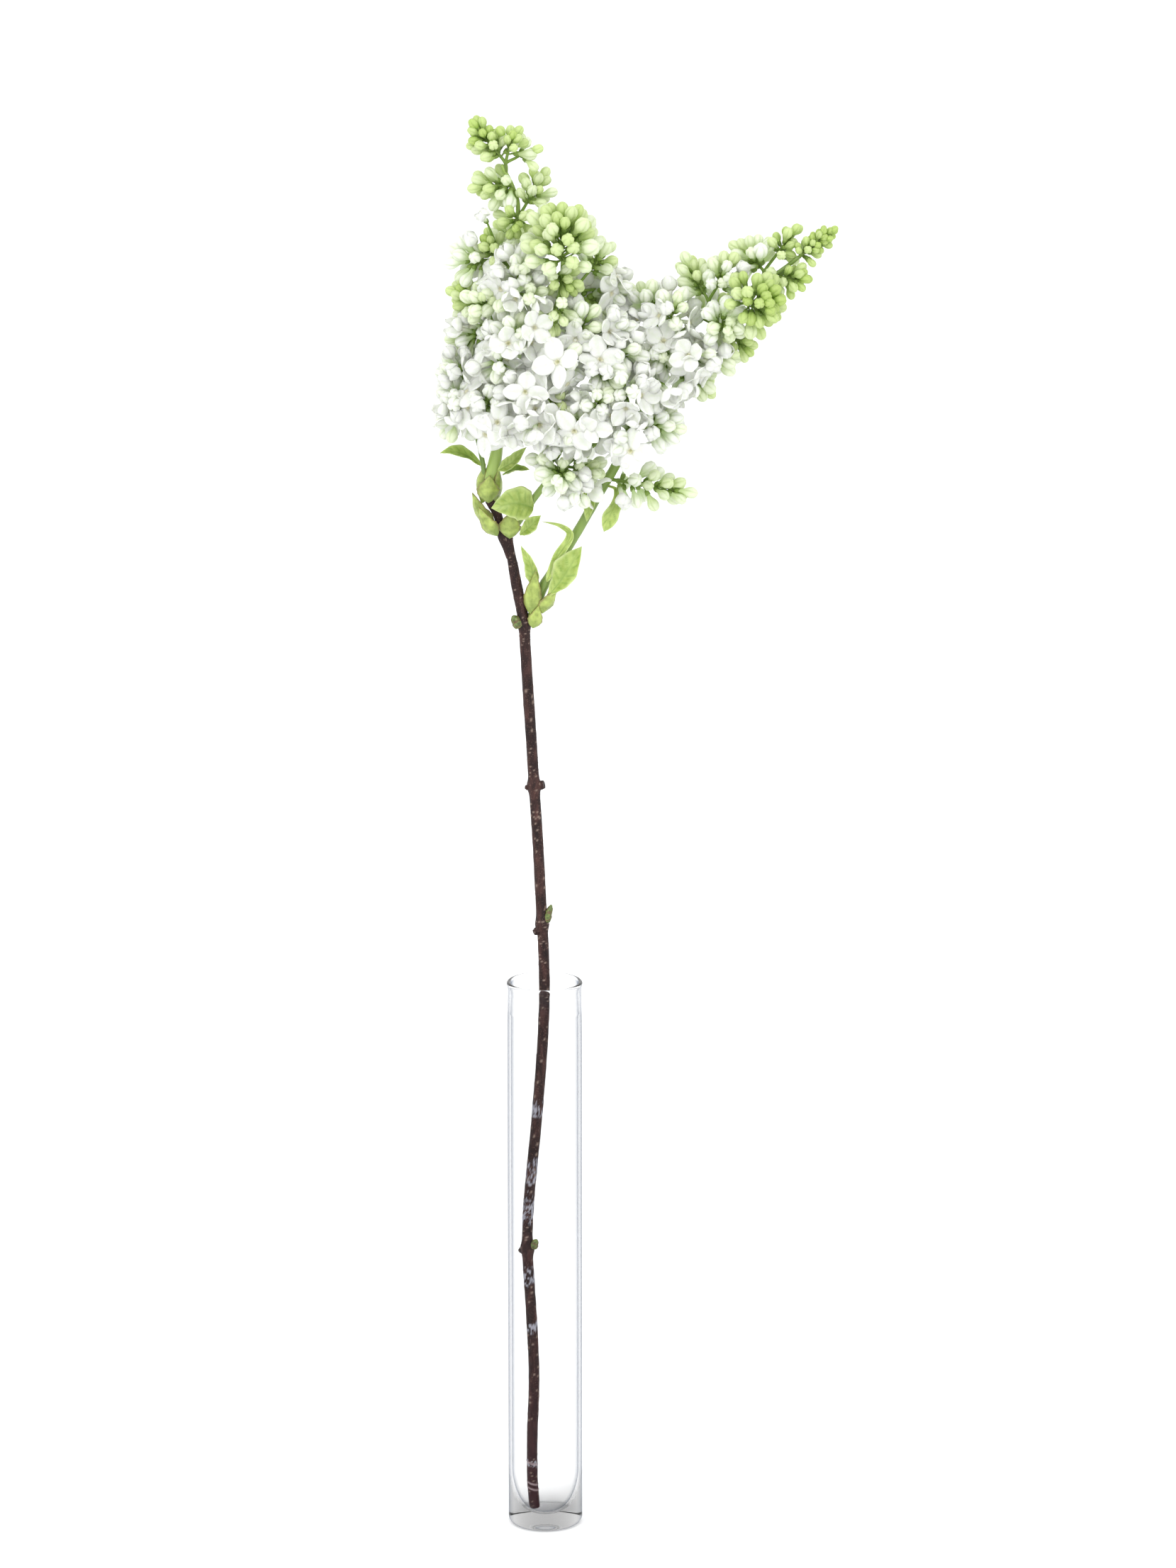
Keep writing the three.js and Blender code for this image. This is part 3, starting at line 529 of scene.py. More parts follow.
# ================================================================ the green shoots
# This spring's growth, soft and smooth. Each shoot is the axis of a flower head: thick and
# juicy at its foot, thinner and darker where the flowers sit.
SHOOTS = {
    "left": {
        "path": [
            (-29, 11, 575), (-26, 10.5, 583), (-24, 9.5, 595), (-22.5, 7, 619), (-21.5, 6, 642),
            (-20, 5, 668), (-16.5, 3, 697), (-13, 2, 720), (-16, 1, 731), (-21.5, 0, 742),
        ],
        "radii": [3.2, 3.4, 2.9, 2.2, 1.8, 1.6, 1.4, 1.2, 1.1, 1.0],
        "pale": 0.9,
    },
    "left_side": {
        "path": [
            (-31, 10.5, 576), (-32.5, 9, 587), (-35.5, 6, 601), (-38.5, 4, 610), (-41, 2, 625),
        ],
        "radii": [1.3, 1.3, 1.3, 1.1, 0.9],
        "pale": 0.0,
    },
    "front": {
        "path": [
            (-24, 9.5, 593), (-18, 3, 601), (-10, -3, 615), (-0.5, -8, 637), (5.5, -14, 666),
            (10, -19, 683), (10.5, -25, 696),
        ],
        "radii": [1.9, 1.8, 1.7, 1.5, 1.3, 1.2, 1.1],
        "pale": 0.8,
    },
    "middle": {
        "path": [
            (-18, 12, 548.5), (-14.5, 11, 551), (-9.5, 9, 559), (0.5, 6, 573), (8.5, 3, 582),
            (16.5, -1, 589), (28, -5, 597), (39.5, -8, 602), (51, -11, 607),
        ],
        "radii": [1.9, 1.9, 1.9, 1.8, 1.6, 1.4, 1.2, 1.1, 0.9],
        "pale": 0.3,
    },
    "right": {
        "path": [
            (-6.5, 14.5, 500), (-3.5, 14, 508), (-0.5, 13, 517), (7.5, 12, 530), (22, 9, 555),
            (30, 7, 570), (39, 5, 586), (51, 3, 616), (58.5, 2, 637), (64.5, 1.5, 646),
            (79.5, 1, 660), (95, 0.5, 670), (120.5, 0, 685), (133, -1, 694.5),
        ],
        "radii": [2.6, 2.6, 2.7, 2.6, 2.5, 2.6, 2.4, 2.2, 2.0, 1.9, 1.7, 1.5, 1.2, 1.0],
        "pale": 0.25,
    },
}

SHOOT_SIDES = 20
SHOOT_STEPS = 10
# light seeps a little way into all that is green and juicy
JUICY = {"Subsurface_Scale": 0.001, "Subsurface_Radius": (0.7, 1.0, 0.3)}
green_skin = Finish("green_shoot_skin", Roughness=0.42, Subsurface_Weight=0.25, **JUICY)
young = green_skin.grain(170, 4, (1, 1, 0.12))
shoot_green = green_skin.ramp(
    green_skin.mark("pale"),
    (0.0, 0.155, 0.245, 0.050),
    (0.5, 0.280, 0.395, 0.090),
    (1.0, 0.430, 0.580, 0.150),
)
shoot_green = green_skin.blend(
    green_skin.ramp(young, (0.42, 0.35, 0.35, 0.35), (0.62, 0, 0, 0)), shoot_green, (0.13, 0.20, 0.04, 1)
)
green_skin.colour(shoot_green)
green_skin.relief(young, 0.0003, 0.4)

for name, shoot in SHOOTS.items():
    shoot_route = smooth_route(shoot["path"], SHOOT_STEPS)
    shoot_radii = radii_along(shoot["radii"], SHOOT_STEPS)
    round_shoot = limb_rings(shoot_route, shoot_radii, SHOOT_SIDES)
    ridged = shoot_radii[:, None] * (1 + 0.05 * lumps(round_shoot, (0.5, 0.5, 0.12), 4.4))
    shoot_points, shoot_faces = closed_rings(limb_rings(shoot_route, ridged, SHOOT_SIDES) * MM)
    up_the_shoot = np.repeat(np.linspace(0, 1, len(shoot_route)), SHOOT_SIDES)
    paleness = shoot["pale"] * (1 - 0.5 * np.append(up_the_shoot, (0, 1)))
    shoot_skin = Skin()
    shoot_skin.add(shoot_points, shoot_faces, pale=paleness)
    node = name + "_shoot"
    make_piece("grown_" + node, shoot_skin, green_skin.material, "green_shoot", node)

# ================================================================ buds that stayed closed
# Small winter buds at the nodes of the wood, that never opened. Each is wrapped in pairs of
# thick green scales with thin brown edges, every pair turned a quarter from the one below.
DORMANT_BUDS = {
    "lower_bud": {"foot": (-6.5, 0.5, 156), "tip": (-4.5, -0.5, 160.5), "radius": 2},
    "rim_bud": {"foot": (0.8, 15.5, 334), "tip": (3.6, 15, 343), "radius": 1.8},
    "fork_bud": {"foot": (-13, 13.5, 496), "tip": (-16.5, 12, 501.5), "radius": 2.7},
}
BUD_SIDES = 32
BUD_STEPS = 30
SCALE_PAIRS = (0.42, 0.66, 0.86)  # how far up the bud each pair of scales reaches
PAIR_THICKNESS = 0.22

bud_scales_finish = Finish("winter_bud_scales", Roughness=0.5)
bud_patches = bud_scales_finish.grain(600, 4)
bud_green = bud_scales_finish.ramp(bud_patches, (0.35, 0.05, 0.07, 0.016), (0.65, 0.15, 0.21, 0.05))
bud_scales_finish.colour(
    bud_scales_finish.blend(bud_scales_finish.mark("edge"), bud_green, (0.10, 0.035, 0.018, 1))
)
bud_scales_finish.relief(bud_patches, 0.0003, 0.5)

for name, bud in DORMANT_BUDS.items():
    foot, tip = np.array(bud["foot"], float), np.array(bud["tip"], float)
    up_bud = np.linspace(0, 1, BUD_STEPS)
    bud_route = foot + (tip - foot) * up_bud[:, None]
    core = bud["radius"] * 0.92 * np.sqrt(np.clip(1 - (np.abs(up_bud - 0.32) / 0.7) ** 2.1, 0, 1)) + 0.02
    angle = np.linspace(0, 2 * math.pi, BUD_SIDES, endpoint=False)
    wrapped = np.repeat(core[:, None], BUD_SIDES, 1)
    edge = np.zeros((BUD_STEPS, BUD_SIDES))
    for pair, reach in enumerate(SCALE_PAIRS):
        outline = reach - 0.30 * np.abs(np.sin(angle - pair * math.pi / 2)) ** 1.5
        short_of = (outline[None] - up_bud[:, None]) / 0.035
        wrapped += PAIR_THICKNESS * np.clip(short_of, 0, 1) * np.minimum(1, core[:, None] / 0.8)
        edge = np.maximum(edge, np.exp(-((short_of - 0.6) ** 2)))
    bud_points, bud_faces = closed_rings(limb_rings(bud_route, wrapped, BUD_SIDES) * MM)
    bud_skin = Skin()
    bud_skin.add(bud_points, bud_faces, edge=np.append(edge.ravel(), (0, 1)))
    make_piece("scaly_" + name, bud_skin, bud_scales_finish.material, "winter_bud", name)

# ================================================================ bud scales and first leaves
# The outer scales of the winter buds that opened, thick and cupped, and above them the first
# leaves of spring. All are thin blades on a midrib, with pale edges and pressed-in side veins.
BUD_SCALES = {
    "left_collar_scale_1": {
        "path": [(-29, 9, 563), (-29, 5.8, 570), (-28.2, 5.6, 578)],
        "faces": (0, 1, 0), "width": 13,
    },
    "left_collar_scale_2": {
        "path": [(-32.5, 13, 562), (-34.4, 11, 572), (-30.6, 9.4, 583.5)],
        "faces": (0.8, 0.6, 0), "width": 9.5,
    },
    "left_collar_scale_3": {
        "path": [(-25.5, 12.5, 561.5), (-23.4, 10.6, 570.5), (-23.6, 8.6, 581.5)],
        "faces": (-0.7, 0.7, 0), "width": 9,
    },
    "left_bud_scale_1": {
        "path": [(-27, 13, 549), (-33.5, 11.5, 556), (-37.5, 9.5, 568)],
        "faces": (0.5, 0.8, 0.3), "width": 10.5,
    },
    "left_bud_scale_2": {
        "path": [(-24.5, 8.2, 545.5), (-29.5, 5.6, 551), (-34, 5.5, 561)],
        "faces": (0.3, 1, 0.2), "width": 9.5,
    },
    "middle_scale": {
        "path": [(-18, 8.6, 544), (-17.7, 5.8, 550.5), (-15.5, 6.2, 560)],
        "faces": (0, 1, 0.2), "width": 12.5,
    },
    "right_base_scale": {
        "path": [(-6, 10, 495.5), (-4.2, 8.6, 500.5), (-2.8, 8.2, 508)],
        "faces": (-0.2, 1, 0), "width": 8.5,
    },
    "right_front_scale": {
        "path": [(-7, 10, 503), (-6.2, 7.2, 513), (-4.2, 6.8, 527)],
        "faces": (0.2, 1, 0), "width": 10.5,
    },
    "right_mid_scale": {
        "path": [(-1, 10.5, 503.5), (2.5, 8.2, 508.5), (7, 8.6, 517.5)],
        "faces": (-0.5, 0.85, 0.2), "width": 9.5,
    },
}
LEAVES = {
    "left_far_leaf": {
        "path": [(-33, 8, 583), (-39, 5.5, 588), (-47, 1, 591.5), (-54, -3, 591.5)],
        "faces": (0.2, -0.7, 0.8), "width": 8, "widest": 0.5, "cup": 0.4,
    },
    "left_inner_leaf": {
        "path": [(-24, 6.5, 580.5), (-17, 3.5, 585), (-9, 0, 594)],
        "faces": (-0.5, -0.8, 0.4), "width": 8, "widest": 0.5, "cup": 0.35,
    },
    "left_low_leaf": {
        "path": [(-21.5, 8, 578), (-14.5, 4, 581.5), (-7.5, 1, 582)],
        "faces": (0, -0.5, 1), "width": 7, "widest": 0.5, "cup": 0.3,
    },
    "middle_front_leaf": {
        "path": [(-5.5, 5, 561), (-15, 0.5, 564), (-27.5, 1, 561.5)],
        "faces": (0, -1, 0.3), "width": 18.5, "widest": 0.42, "cup": 0.3,
    },
    "middle_side_leaf": {
        "path": [(-12.5, 8, 546), (-7.5, 5, 550.5), (-1.5, 4, 557)],
        "faces": (-0.4, -0.8, 0.4), "width": 9, "widest": 0.55, "cup": 0.35,
    },
    "right_slim_leaf": {
        "path": [(-5, 11, 517), (-6.5, 9.5, 528), (-12, 8, 540)],
        "faces": (-0.4, -0.9, 0), "width": 8, "widest": 0.42, "cup": 0.3,
    },
    "right_folded_leaf": {
        "path": [(2.5, 8.5, 513), (10.5, 4, 524.5), (20, 4, 540.5)],
        "faces": (-0.35, -0.85, 0.3), "width": 15, "widest": 0.6, "cup": 0.5,
    },
    "right_wing_leaf": {
        "path": [(1.5, 7, 521), (7, 5.5, 534), (14, 3.5, 547), (9, 1, 552), (-1, -2, 555)],
        "faces": (-0.3, -1, 0.1), "width": 5, "widest": 0.3, "cup": 0.25,
    },
    "right_drooping_leaf": {
        "path": [(29, 3.5, 575), (25, 0, 571), (24, -1, 563), (22.5, -2, 555)],
        "faces": (-0.4, -0.9, 0), "width": 7.5, "widest": 0.55, "cup": 0.35,
    },
    "right_hanging_leaf": {
        "path": [(33.5, 3.5, 573), (37.5, 2, 571.5), (38, 0, 565.5), (34.5, -1, 557.5), (31.5, -2, 549.5)],
        "faces": (0.4, -0.9, 0), "width": 10, "widest": 0.74, "cup": 0.3,
    },
}
SCALE_THICKNESS = 0.9
LEAF_THICKNESS = 0.42
LEAF_VEINS = 7
LEAF_WAVE = 0.16
SCALE_WAVE = 0.02
VEIN_DEPTH = 0.2
MIDRIB_DEPTH = 0.3


def thin_rings(middle, side, upper, half, lift, thickness, across):
    """Closed sections of a thin blade: its underside from right to left, then its upper side back."""
    v = np.linspace(-1, 1, across + 1)
    body = 0.5 * thickness * (0.28 + 0.72 * np.sqrt(1 - v**2))
    spread = middle[:, None] + side[:, None] * (half[:, None] * v)[..., None]
    top = spread + upper[:, None] * (lift + body)[..., None]
    under = spread + upper[:, None] * (lift - body)[..., None]
    return np.concatenate([under[:, ::-1], top], axis=1)


def both_sides(values):
    """Numbers across a thin blade, laid out like the points of its closed sections."""
    return np.concatenate([values[:, ::-1], values], axis=1)


def make_blade(name, spec, thickness, finish, slot, veins, wave):
    """A leaf or a scale along its path; `faces` is roughly where its upper side looks."""
    steps, across = 40, 16
    route = smooth_route(spec["path"], 12)
    along = np.linspace(0, 1, steps + 1)
    place = np.linspace(0, 1, len(route))
    route = np.stack([np.interp(along, place, route[:, i]) for i in range(3)], 1)
    heading = unit(np.gradient(route, axis=0))
    side = unit(np.cross(heading, spec["faces"]))
    upper = np.cross(side, heading)
    v = np.linspace(-1, 1, across + 1)
    swelling = np.sin(math.pi * along ** (math.log(0.5) / math.log(spec["widest"])))
    half = 0.5 * spec["width"] * (0.12 * (1 - along) + 0.88 * np.clip(swelling, 0, 1)) + 0.05
    seed = sum(map(ord, name))
    half = half * (1 + 0.035 * np.sin(9 * along * math.pi + seed))
    vein = np.zeros((steps + 1, across + 1))
    if veins:
        ladder = (along[:, None] * veins - 1.1 * np.abs(v)[None]) % 1.0
        vein = np.exp(-(((ladder - 0.5) / 0.13) ** 2)) * np.clip(np.abs(v) * 3, 0, 1) * (1 - v**4)
    midrib = np.exp(-((v / 0.11) ** 2))[None] * (1 - along[:, None] ** 2)
    lift = spec["cup"] * half[:, None] * np.abs(v)[None] ** 1.5
    lift = lift + wave * half[:, None] * v[None] ** 2 * np.sin(11 * along[:, None] + seed + 2 * v[None])
    lift = lift - VEIN_DEPTH * vein - MIDRIB_DEPTH * midrib
    rings = thin_rings(route, side, upper, half, lift, thickness, across)
    points, faces = closed_rings(rings * MM)
    edge = np.broadcast_to(np.clip((np.abs(v) - 0.72) / 0.28, 0, 1), vein.shape)
    edge = np.maximum(edge, np.clip((along[:, None] - 0.93) / 0.07, 0, 1))
    skin = Skin()
    skin.add(
        points,
        faces,
        edge=np.append(both_sides(edge).ravel(), (0, 1)),
        vein=np.append(both_sides(np.maximum(vein, midrib)).ravel(), (0, 0)),
        along=np.append(np.repeat(along, 2 * (across + 1)), (0, 1)),
    )
    make_piece("grown_" + name, skin, finish, slot, name)


scale_finish = Finish("fresh_bud_scale", Roughness=0.4, Subsurface_Weight=0.2, **JUICY)
scale_patches = scale_finish.grain(260, 4)
scale_green = scale_finish.ramp(scale_patches, (0.35, 0.20, 0.26, 0.05), (0.65, 0.38, 0.47, 0.11))
scale_green = scale_finish.blend(
    scale_finish.ramp(scale_finish.mark("along"), (0.0, 0.55, 0.55, 0.55), (0.45, 0, 0, 0)),
    scale_green,
    (0.12, 0.20, 0.03, 1),
)
rim_share = scale_finish.maths("MULTIPLY", scale_finish.mark("edge"), 0.7)
scale_finish.colour(scale_finish.blend(rim_share, scale_green, (0.15, 0.085, 0.03, 1)))
scale_finish.relief(scale_patches, 0.0004, 0.4)

leaf_finish = Finish("first_leaf", Roughness=0.38, Subsurface_Weight=0.3, **JUICY)
leaf_patches = leaf_finish.grain(220, 5)
leaf_green = leaf_finish.ramp(leaf_patches, (0.32, 0.33, 0.43, 0.085), (0.68, 0.54, 0.64, 0.21))
leaf_green = leaf_finish.blend(
    leaf_finish.maths("MULTIPLY", leaf_finish.mark("vein"), 0.75), leaf_green, (0.21, 0.35, 0.06, 1)
)
leaf_green = leaf_finish.blend(
    leaf_finish.maths("MULTIPLY", leaf_finish.mark("edge"), 0.6), leaf_green, (0.68, 0.78, 0.42, 1)
)
leaf_finish.colour(leaf_green)
leaf_finish.relief(leaf_patches, 0.0003, 0.4)
leaf_finish.let_light_through(leaf_green, 0.3)

for name, spec in BUD_SCALES.items():
    cupped = {**spec, "widest": 0.4, "cup": 0.45}
    make_blade(name, cupped, SCALE_THICKNESS, scale_finish.material, "bud_scale", 0, SCALE_WAVE)
for name, spec in LEAVES.items():
    make_blade(name, spec, LEAF_THICKNESS, leaf_finish.material, "leaf", LEAF_VEINS, LEAF_WAVE)

# ================================================================ the flower heads
# Side branches of the shoots, each grown in one piece with its florets. A floret is a green stalk
# and calyx, a slender tube and four soft white petals, folded into a grooved bud while it is young.

# A head is where a branchlet ends: `span` is how much of its end carries florets, and `ripe`
# runs from 0, all green buds, to 3, all open. A `length` over 1 gives larger florets on longer
# stalks, and one under 1 smaller florets. STARS are the wide open florets at the front.


def head_at(x, y, z, florets, ripe, span, length=1):
    """One end of a side branch."""
    return {"at": (x, y, z), "florets": florets, "ripe": ripe, "span": span, "length": length}


FLOWER_HEADS = {
    "left_tip": [
        head_at(-32, -2, 759, 16, 0.25, 17),
        head_at(-17, -3, 754, 6, 0.6, 7),
        head_at(-10, 0, 748, 3, 0.9, 4),
    ],
    "left_upper_left": [head_at(-27, 2, 731, 9, 1.0, 11)],
    "left_upper_right": [
        head_at(-3.5, 3, 730, 9, 1.0, 10),
        head_at(-14.5, -8, 712, 7, 0.4, 8),
    ],
    "left_shoulder": [
        head_at(-27, 0, 699.5, 7, 0.8, 7),
        head_at(-36, 2, 692, 6, 2.1, 6),
        head_at(-29, -5, 713, 1, 2.6, 3),
    ],
    "left_upper_front": [
        head_at(-12, -17, 688, 10, 2.4, 9),
        head_at(-8, -22, 678, 6, 2.3, 8),
        head_at(-21, -18, 677, 7, 1.6, 8),
    ],
    "left_flank": [
        head_at(-40, 0, 674, 9, 0.9, 10),
        head_at(-30, -12, 672, 7, 1.7, 8),
        head_at(-38, 2, 651, 11, 2.2, 11),
    ],
    "left_front_mid": [
        head_at(-13, -25, 657, 12, 2.4, 10),
        head_at(-22, -23, 643, 8, 2.3, 9),
    ],
    "left_back_high": [
        head_at(-18, 22, 703, 8, 1.2, 8),
        head_at(-10, 30, 680, 9, 2.0, 10),
    ],
    "left_back_low": [
        head_at(-26, 32, 650, 10, 2.4, 10),
        head_at(-16, 32, 614, 9, 2.5, 10),
        head_at(-4, 30, 634, 9, 2.3, 10),
    ],
    "left_outer_low": [
        head_at(-43, 0, 637, 11, 2.3, 10),
        head_at(-43, -5, 620, 8, 2.2, 8),
        head_at(-45, 0, 608, 3, 1.9, 4),
    ],
    "left_front_low": [
        head_at(-27, -18, 621, 10, 2.4, 10),
        head_at(-22, -26, 610, 8, 2.8, 8),
    ],
    "front_tip": [
        head_at(10, -27, 707, 26, 1.0, 12, 1.7),
        head_at(11, -22, 684, 8, 1.0, 9),
        head_at(6, -27, 667, 7, 1.3, 8),
    ],
    "front_upper_right": [
        head_at(29, -10, 694, 6, 1.4, 8),
        head_at(33, -2, 678, 8, 2.5, 9),
        head_at(25, -9, 672, 8, 2.3, 9),
    ],
    "front_right": [
        head_at(20, -20, 661, 10, 2.4, 10),
        head_at(34, -14, 658, 9, 2.4, 9),
        head_at(40, -20, 647, 10, 2.3, 10),
        head_at(31, -28, 638, 8, 2.4, 9),
    ],
    "front_low": [
        head_at(9, -32, 644, 10, 2.6, 9),
        head_at(-9, -31, 631, 10, 2.4, 9),
        head_at(5, -24, 624, 8, 1.6, 9),
        head_at(-4, -33, 614, 8, 2.8, 8),
    ],
    "front_back": [
        head_at(14, 26, 660, 12, 2.1, 12),
        head_at(24, 14, 676, 8, 1.9, 10),
    ],
    "middle_low": [
        head_at(9, -18, 583, 12, 2.0, 9),
        head_at(4, -14, 591, 5, 2.2, 7),
        head_at(15, -13, 576, 6, 2.5, 7),
        head_at(21, -8, 584, 6, 1.6, 7),
    ],
    "middle_front": [
        head_at(18, -27, 611, 10, 2.4, 9),
        head_at(28, -29, 623, 9, 2.2, 9),
    ],
    "middle_tip": [
        head_at(42, -30, 631, 12, 2.2, 8),
        head_at(60, -17, 608, 12, 2.3, 12),
        head_at(45, -24, 603, 6, 2.7, 8),
    ],
    "middle_back": [head_at(18, 26, 606, 12, 2.2, 12)],
    "right_tip": [head_at(147, -2, 706, 20, 0, 18, 0.8)],
    "right_upper": [
        head_at(126, 3, 702, 7, 0.5, 9),
        head_at(108, 4, 694, 8, 1.7, 8),
    ],
    "right_under": [head_at(131, -5, 684, 9, 0.3, 11)],
    "right_front_green": [head_at(111, -23, 674, 24, 0.4, 11, 1.45)],
    "right_upper_mid": [
        head_at(79, 5, 683, 9, 1.3, 10),
        head_at(94, -3, 686, 9, 1.7, 9),
    ],
    "right_under_mid": [
        head_at(94, -16, 661, 8, 2.0, 8),
        head_at(102, -5, 650, 7, 0.6, 8),
    ],
    "right_shoulder": [
        head_at(54, 3, 670, 9, 2.1, 10),
        head_at(67, -10, 667, 8, 2.3, 8),
        head_at(62, -10, 645, 7, 2.2, 8),
    ],
    "right_front_low": [
        head_at(79, -18, 645, 9, 2.5, 8),
        head_at(57, -21, 630, 9, 2.4, 8),
        head_at(80, -4, 630, 10, 1.5, 9),
        head_at(90, -10, 644, 7, 1.8, 8),
    ],
    "right_back": [
        head_at(62, 26, 634, 9, 2.3, 9),
        head_at(90, 21, 664, 9, 1.5, 9),
    ],
    "right_low_raceme": [head_at(66.5, 0, 572, 11, 1.6, 30)],
}
STARS = {
    "left_front_mid": [(-17.8, -36, 655), (-3.7, -37, 663)],
    "front_low": [(7, -43, 646), (-9, -41, 630), (-2, -40, 612)],
    "middle_front": [(16, -39, 609), (26, -38, 612)],
    "middle_tip": [(45, -34, 598)],
}
ON_LEFT_SIDE_SHOOT = ("left_outer_low", "left_front_low")
# every other side branch grows on the shoot that its name begins with
FULLNESS = 2.1  # florets tried for each one that a head is to show
CROWDING = 0.63  # how near two blooms may stand, as a share of their radii together
GOLDEN_ANGLE = math.pi * (3 - math.sqrt(5))
OPEN_STAGE = 2.3  # buds riper than this have parted petals
RIPEST = 3

STALK_RADIUS = 0.45
STALK_SIDES = 6
CALYX_SIDES = 8
CALYX_HEIGHTS = np.array([-0.3, 0.3, 1.2, 2.1, 1.7])  # above the top of the stalk
CALYX_FLARE = [0.12, 0.3, 0.42, 0.1]  # how far the calyx stands out from the tube
CALYX_TEETH = np.array([0, 0, 0.1, 0.9, 0.7])


def eased(value):
    """A gentle rise from 0 to 1."""
    value = np.clip(value, 0, 1)
    return value * value * (3 - 2 * value)


def turned_rings(heights, radii, angles, tooth=0.0):
    """Rings round the +Z axis. `radii` is one number for each ring or for each of its points."""
    grid = (len(heights), len(angles))
    radii = np.broadcast_to(np.asarray(radii, float).reshape(len(heights), -1), grid)
    z = np.asarray(heights, float)[:, None] + np.broadcast_to(tooth, grid)
    return np.stack([radii * np.cos(angles), radii * np.sin(angles), z], 2)


def add_stalk(skin, tube, base_height, ripe):
    """The stalk of a floret and its calyx, a small green cup with four teeth."""
    angles = np.linspace(0, 2 * math.pi, CALYX_SIDES, endpoint=False)
    stalk = turned_rings([0, base_height], [0.42, 0.5], angles)
    points, faces = closed_rings(stalk)
    skin.add(points, faces, stalk=1.0, ripeness=ripe)
    teeth = np.abs(np.cos(2 * angles))
    cup = turned_rings(
        base_height + CALYX_HEIGHTS,
        [STALK_RADIUS, *[tube + flare for flare in CALYX_FLARE]],
        angles,
        CALYX_TEETH[:, None] * teeth,
    )
    points, faces = closed_rings(cup)
    skin.add(points, faces, stalk=1.0, ripeness=ripe)


# How a bud grows: stages, and its size at each of them.
BUD_WIDTH = ([0, 1, 2, 2.4], [2.25, 2.7, 3.4, 3.8])
BUD_LENGTH = ([0, 1, 2], [8.5, 12, 15])
BUD_TUBE = ([0, 1, 2], [0.8, 0.95, 1.15])
BUD_CALYX_BASE = ([0, 2], [0.6, 1.4])
HEAD_SHAPE = 3.15  # length of a bud's swollen head for each millimetre of its radius
WIDEST_AT = 0.6  # the share of the head below its widest ring
SEAM_ANGLE = 8
SEAM_DEPTHS = (0.05, 0.15)  # at the foot of the head, and added further up


def bud_floret(stage, rng):
    """A closed floret: a slender tube that swells into a head of four folded petals."""
    width = np.interp(stage, *BUD_WIDTH) * (0.94 + 0.12 * rng.random())
    length = np.interp(stage, *BUD_LENGTH)
    tube = np.interp(stage, *BUD_TUBE)
    base = np.interp(stage, *BUD_CALYX_BASE)
    offsets = np.radians([0, SEAM_ANGLE, 27, 63, 90 - SEAM_ANGLE])
    angles = np.concatenate([quarter * math.pi / 2 + offsets for quarter in range(4)])
    from_seam = np.minimum(angles % (math.pi / 2), math.pi / 2 - angles % (math.pi / 2))
    seam = np.exp(-((from_seam / math.radians(SEAM_ANGLE)) ** 2))
    head = HEAD_SHAPE * width
    s = np.array([0, 0.13, 0.26, 0.38, 0.5, 0.62, 0.74, 0.84, 0.92, 0.97, 0.992])
    swell = tube + (width - tube) * eased((s - 0.02) / (WIDEST_AT - 0.02))
    past_widest = np.clip(s - WIDEST_AT, 0, 1) / (1 - WIDEST_AT)
    dome = width * np.sqrt(np.clip(1 - past_widest**2.1, 0, 1))
    radii = np.where(s < WIDEST_AT, swell, dome)
    depth = (SEAM_DEPTHS[0] + SEAM_DEPTHS[1] * eased(s / 0.5)) * (1 + 0.35 * stage / 2)
    puff = 1 + 0.05 * eased(s / 0.5)[:, None] * np.sin(2 * angles) ** 2 * np.clip(stage, 0.3, 2)
    radii = radii[:, None] * (1 - depth[:, None] * seam) * puff
    low = np.array([base + 0.6, 0.5 * (base + 2.2 + length - head)])
    low = low[low < length - head - 0.3]
    heights = np.concatenate([low, length - head + s * head])
    radii = np.vstack([np.full((len(low), len(angles)), tube * 0.95), radii])
    twist = 0.5 * max(stage - 1.2, 0) * eased((heights - (length - head)) / head)
    rings = turned_rings(heights, radii, angles)
    cos, sin = np.cos(twist)[:, None], np.sin(twist)[:, None]
    x, y = rings[..., 0], rings[..., 1]
    rings[..., :2] = np.stack([x * cos - y * sin, x * sin + y * cos], 2)
    points, faces = closed_rings(rings)
    up_floret = np.clip((points[:, 2] - base) / (length - base), 0, 1)
    seams = np.vstack([np.zeros((len(low), len(angles))), seam[None] * eased(s / 0.4)[:, None]])
    skin = Skin()
    ripe = min(stage / 2.0, 1)
    skin.add(points, faces, ripeness=ripe, up=up_floret, seam=np.append(seams.ravel(), (0, 1)))
    add_stalk(skin, tube, base, ripe)
    return skin, length - 0.5 * head, width


# How the petals of an opening floret lean away from its axis, in degrees, at four places from
# throat to tip; then half their width, how far their edges curl in, and their length.
PETAL_POSES = [
    {"lean": (58, 26, -22, -78), "half": 3.6, "curl": 0.50, "length": 10.0},
    {"lean": (64, 46, 8, -45), "half": 3.9, "curl": 0.42, "length": 10.6},
    {"lean": (70, 66, 48, 0), "half": 4.3, "curl": 0.32, "length": 11.2},
    {"lean": (74, 84, 80, 40), "half": 4.6, "curl": 0.22, "length": 11.6},
    {"lean": (78, 94, 97, 72), "half": 4.8, "curl": 0.17, "length": 11.8},
]
PETAL_THICKNESS = 0.42
PETAL_STEPS, PETAL_ACROSS = 8, 6
CREASE_DEPTH = 0.09  # of the fold along a petal's middle, for each millimetre of half its width
RUFFLE = 0.05
OPEN_TUBE_RADIUS = 1.15
OPEN_CALYX_BASE = 1.4
THROAT_HEIGHT = 10.5
TUBE_SIDES = 12


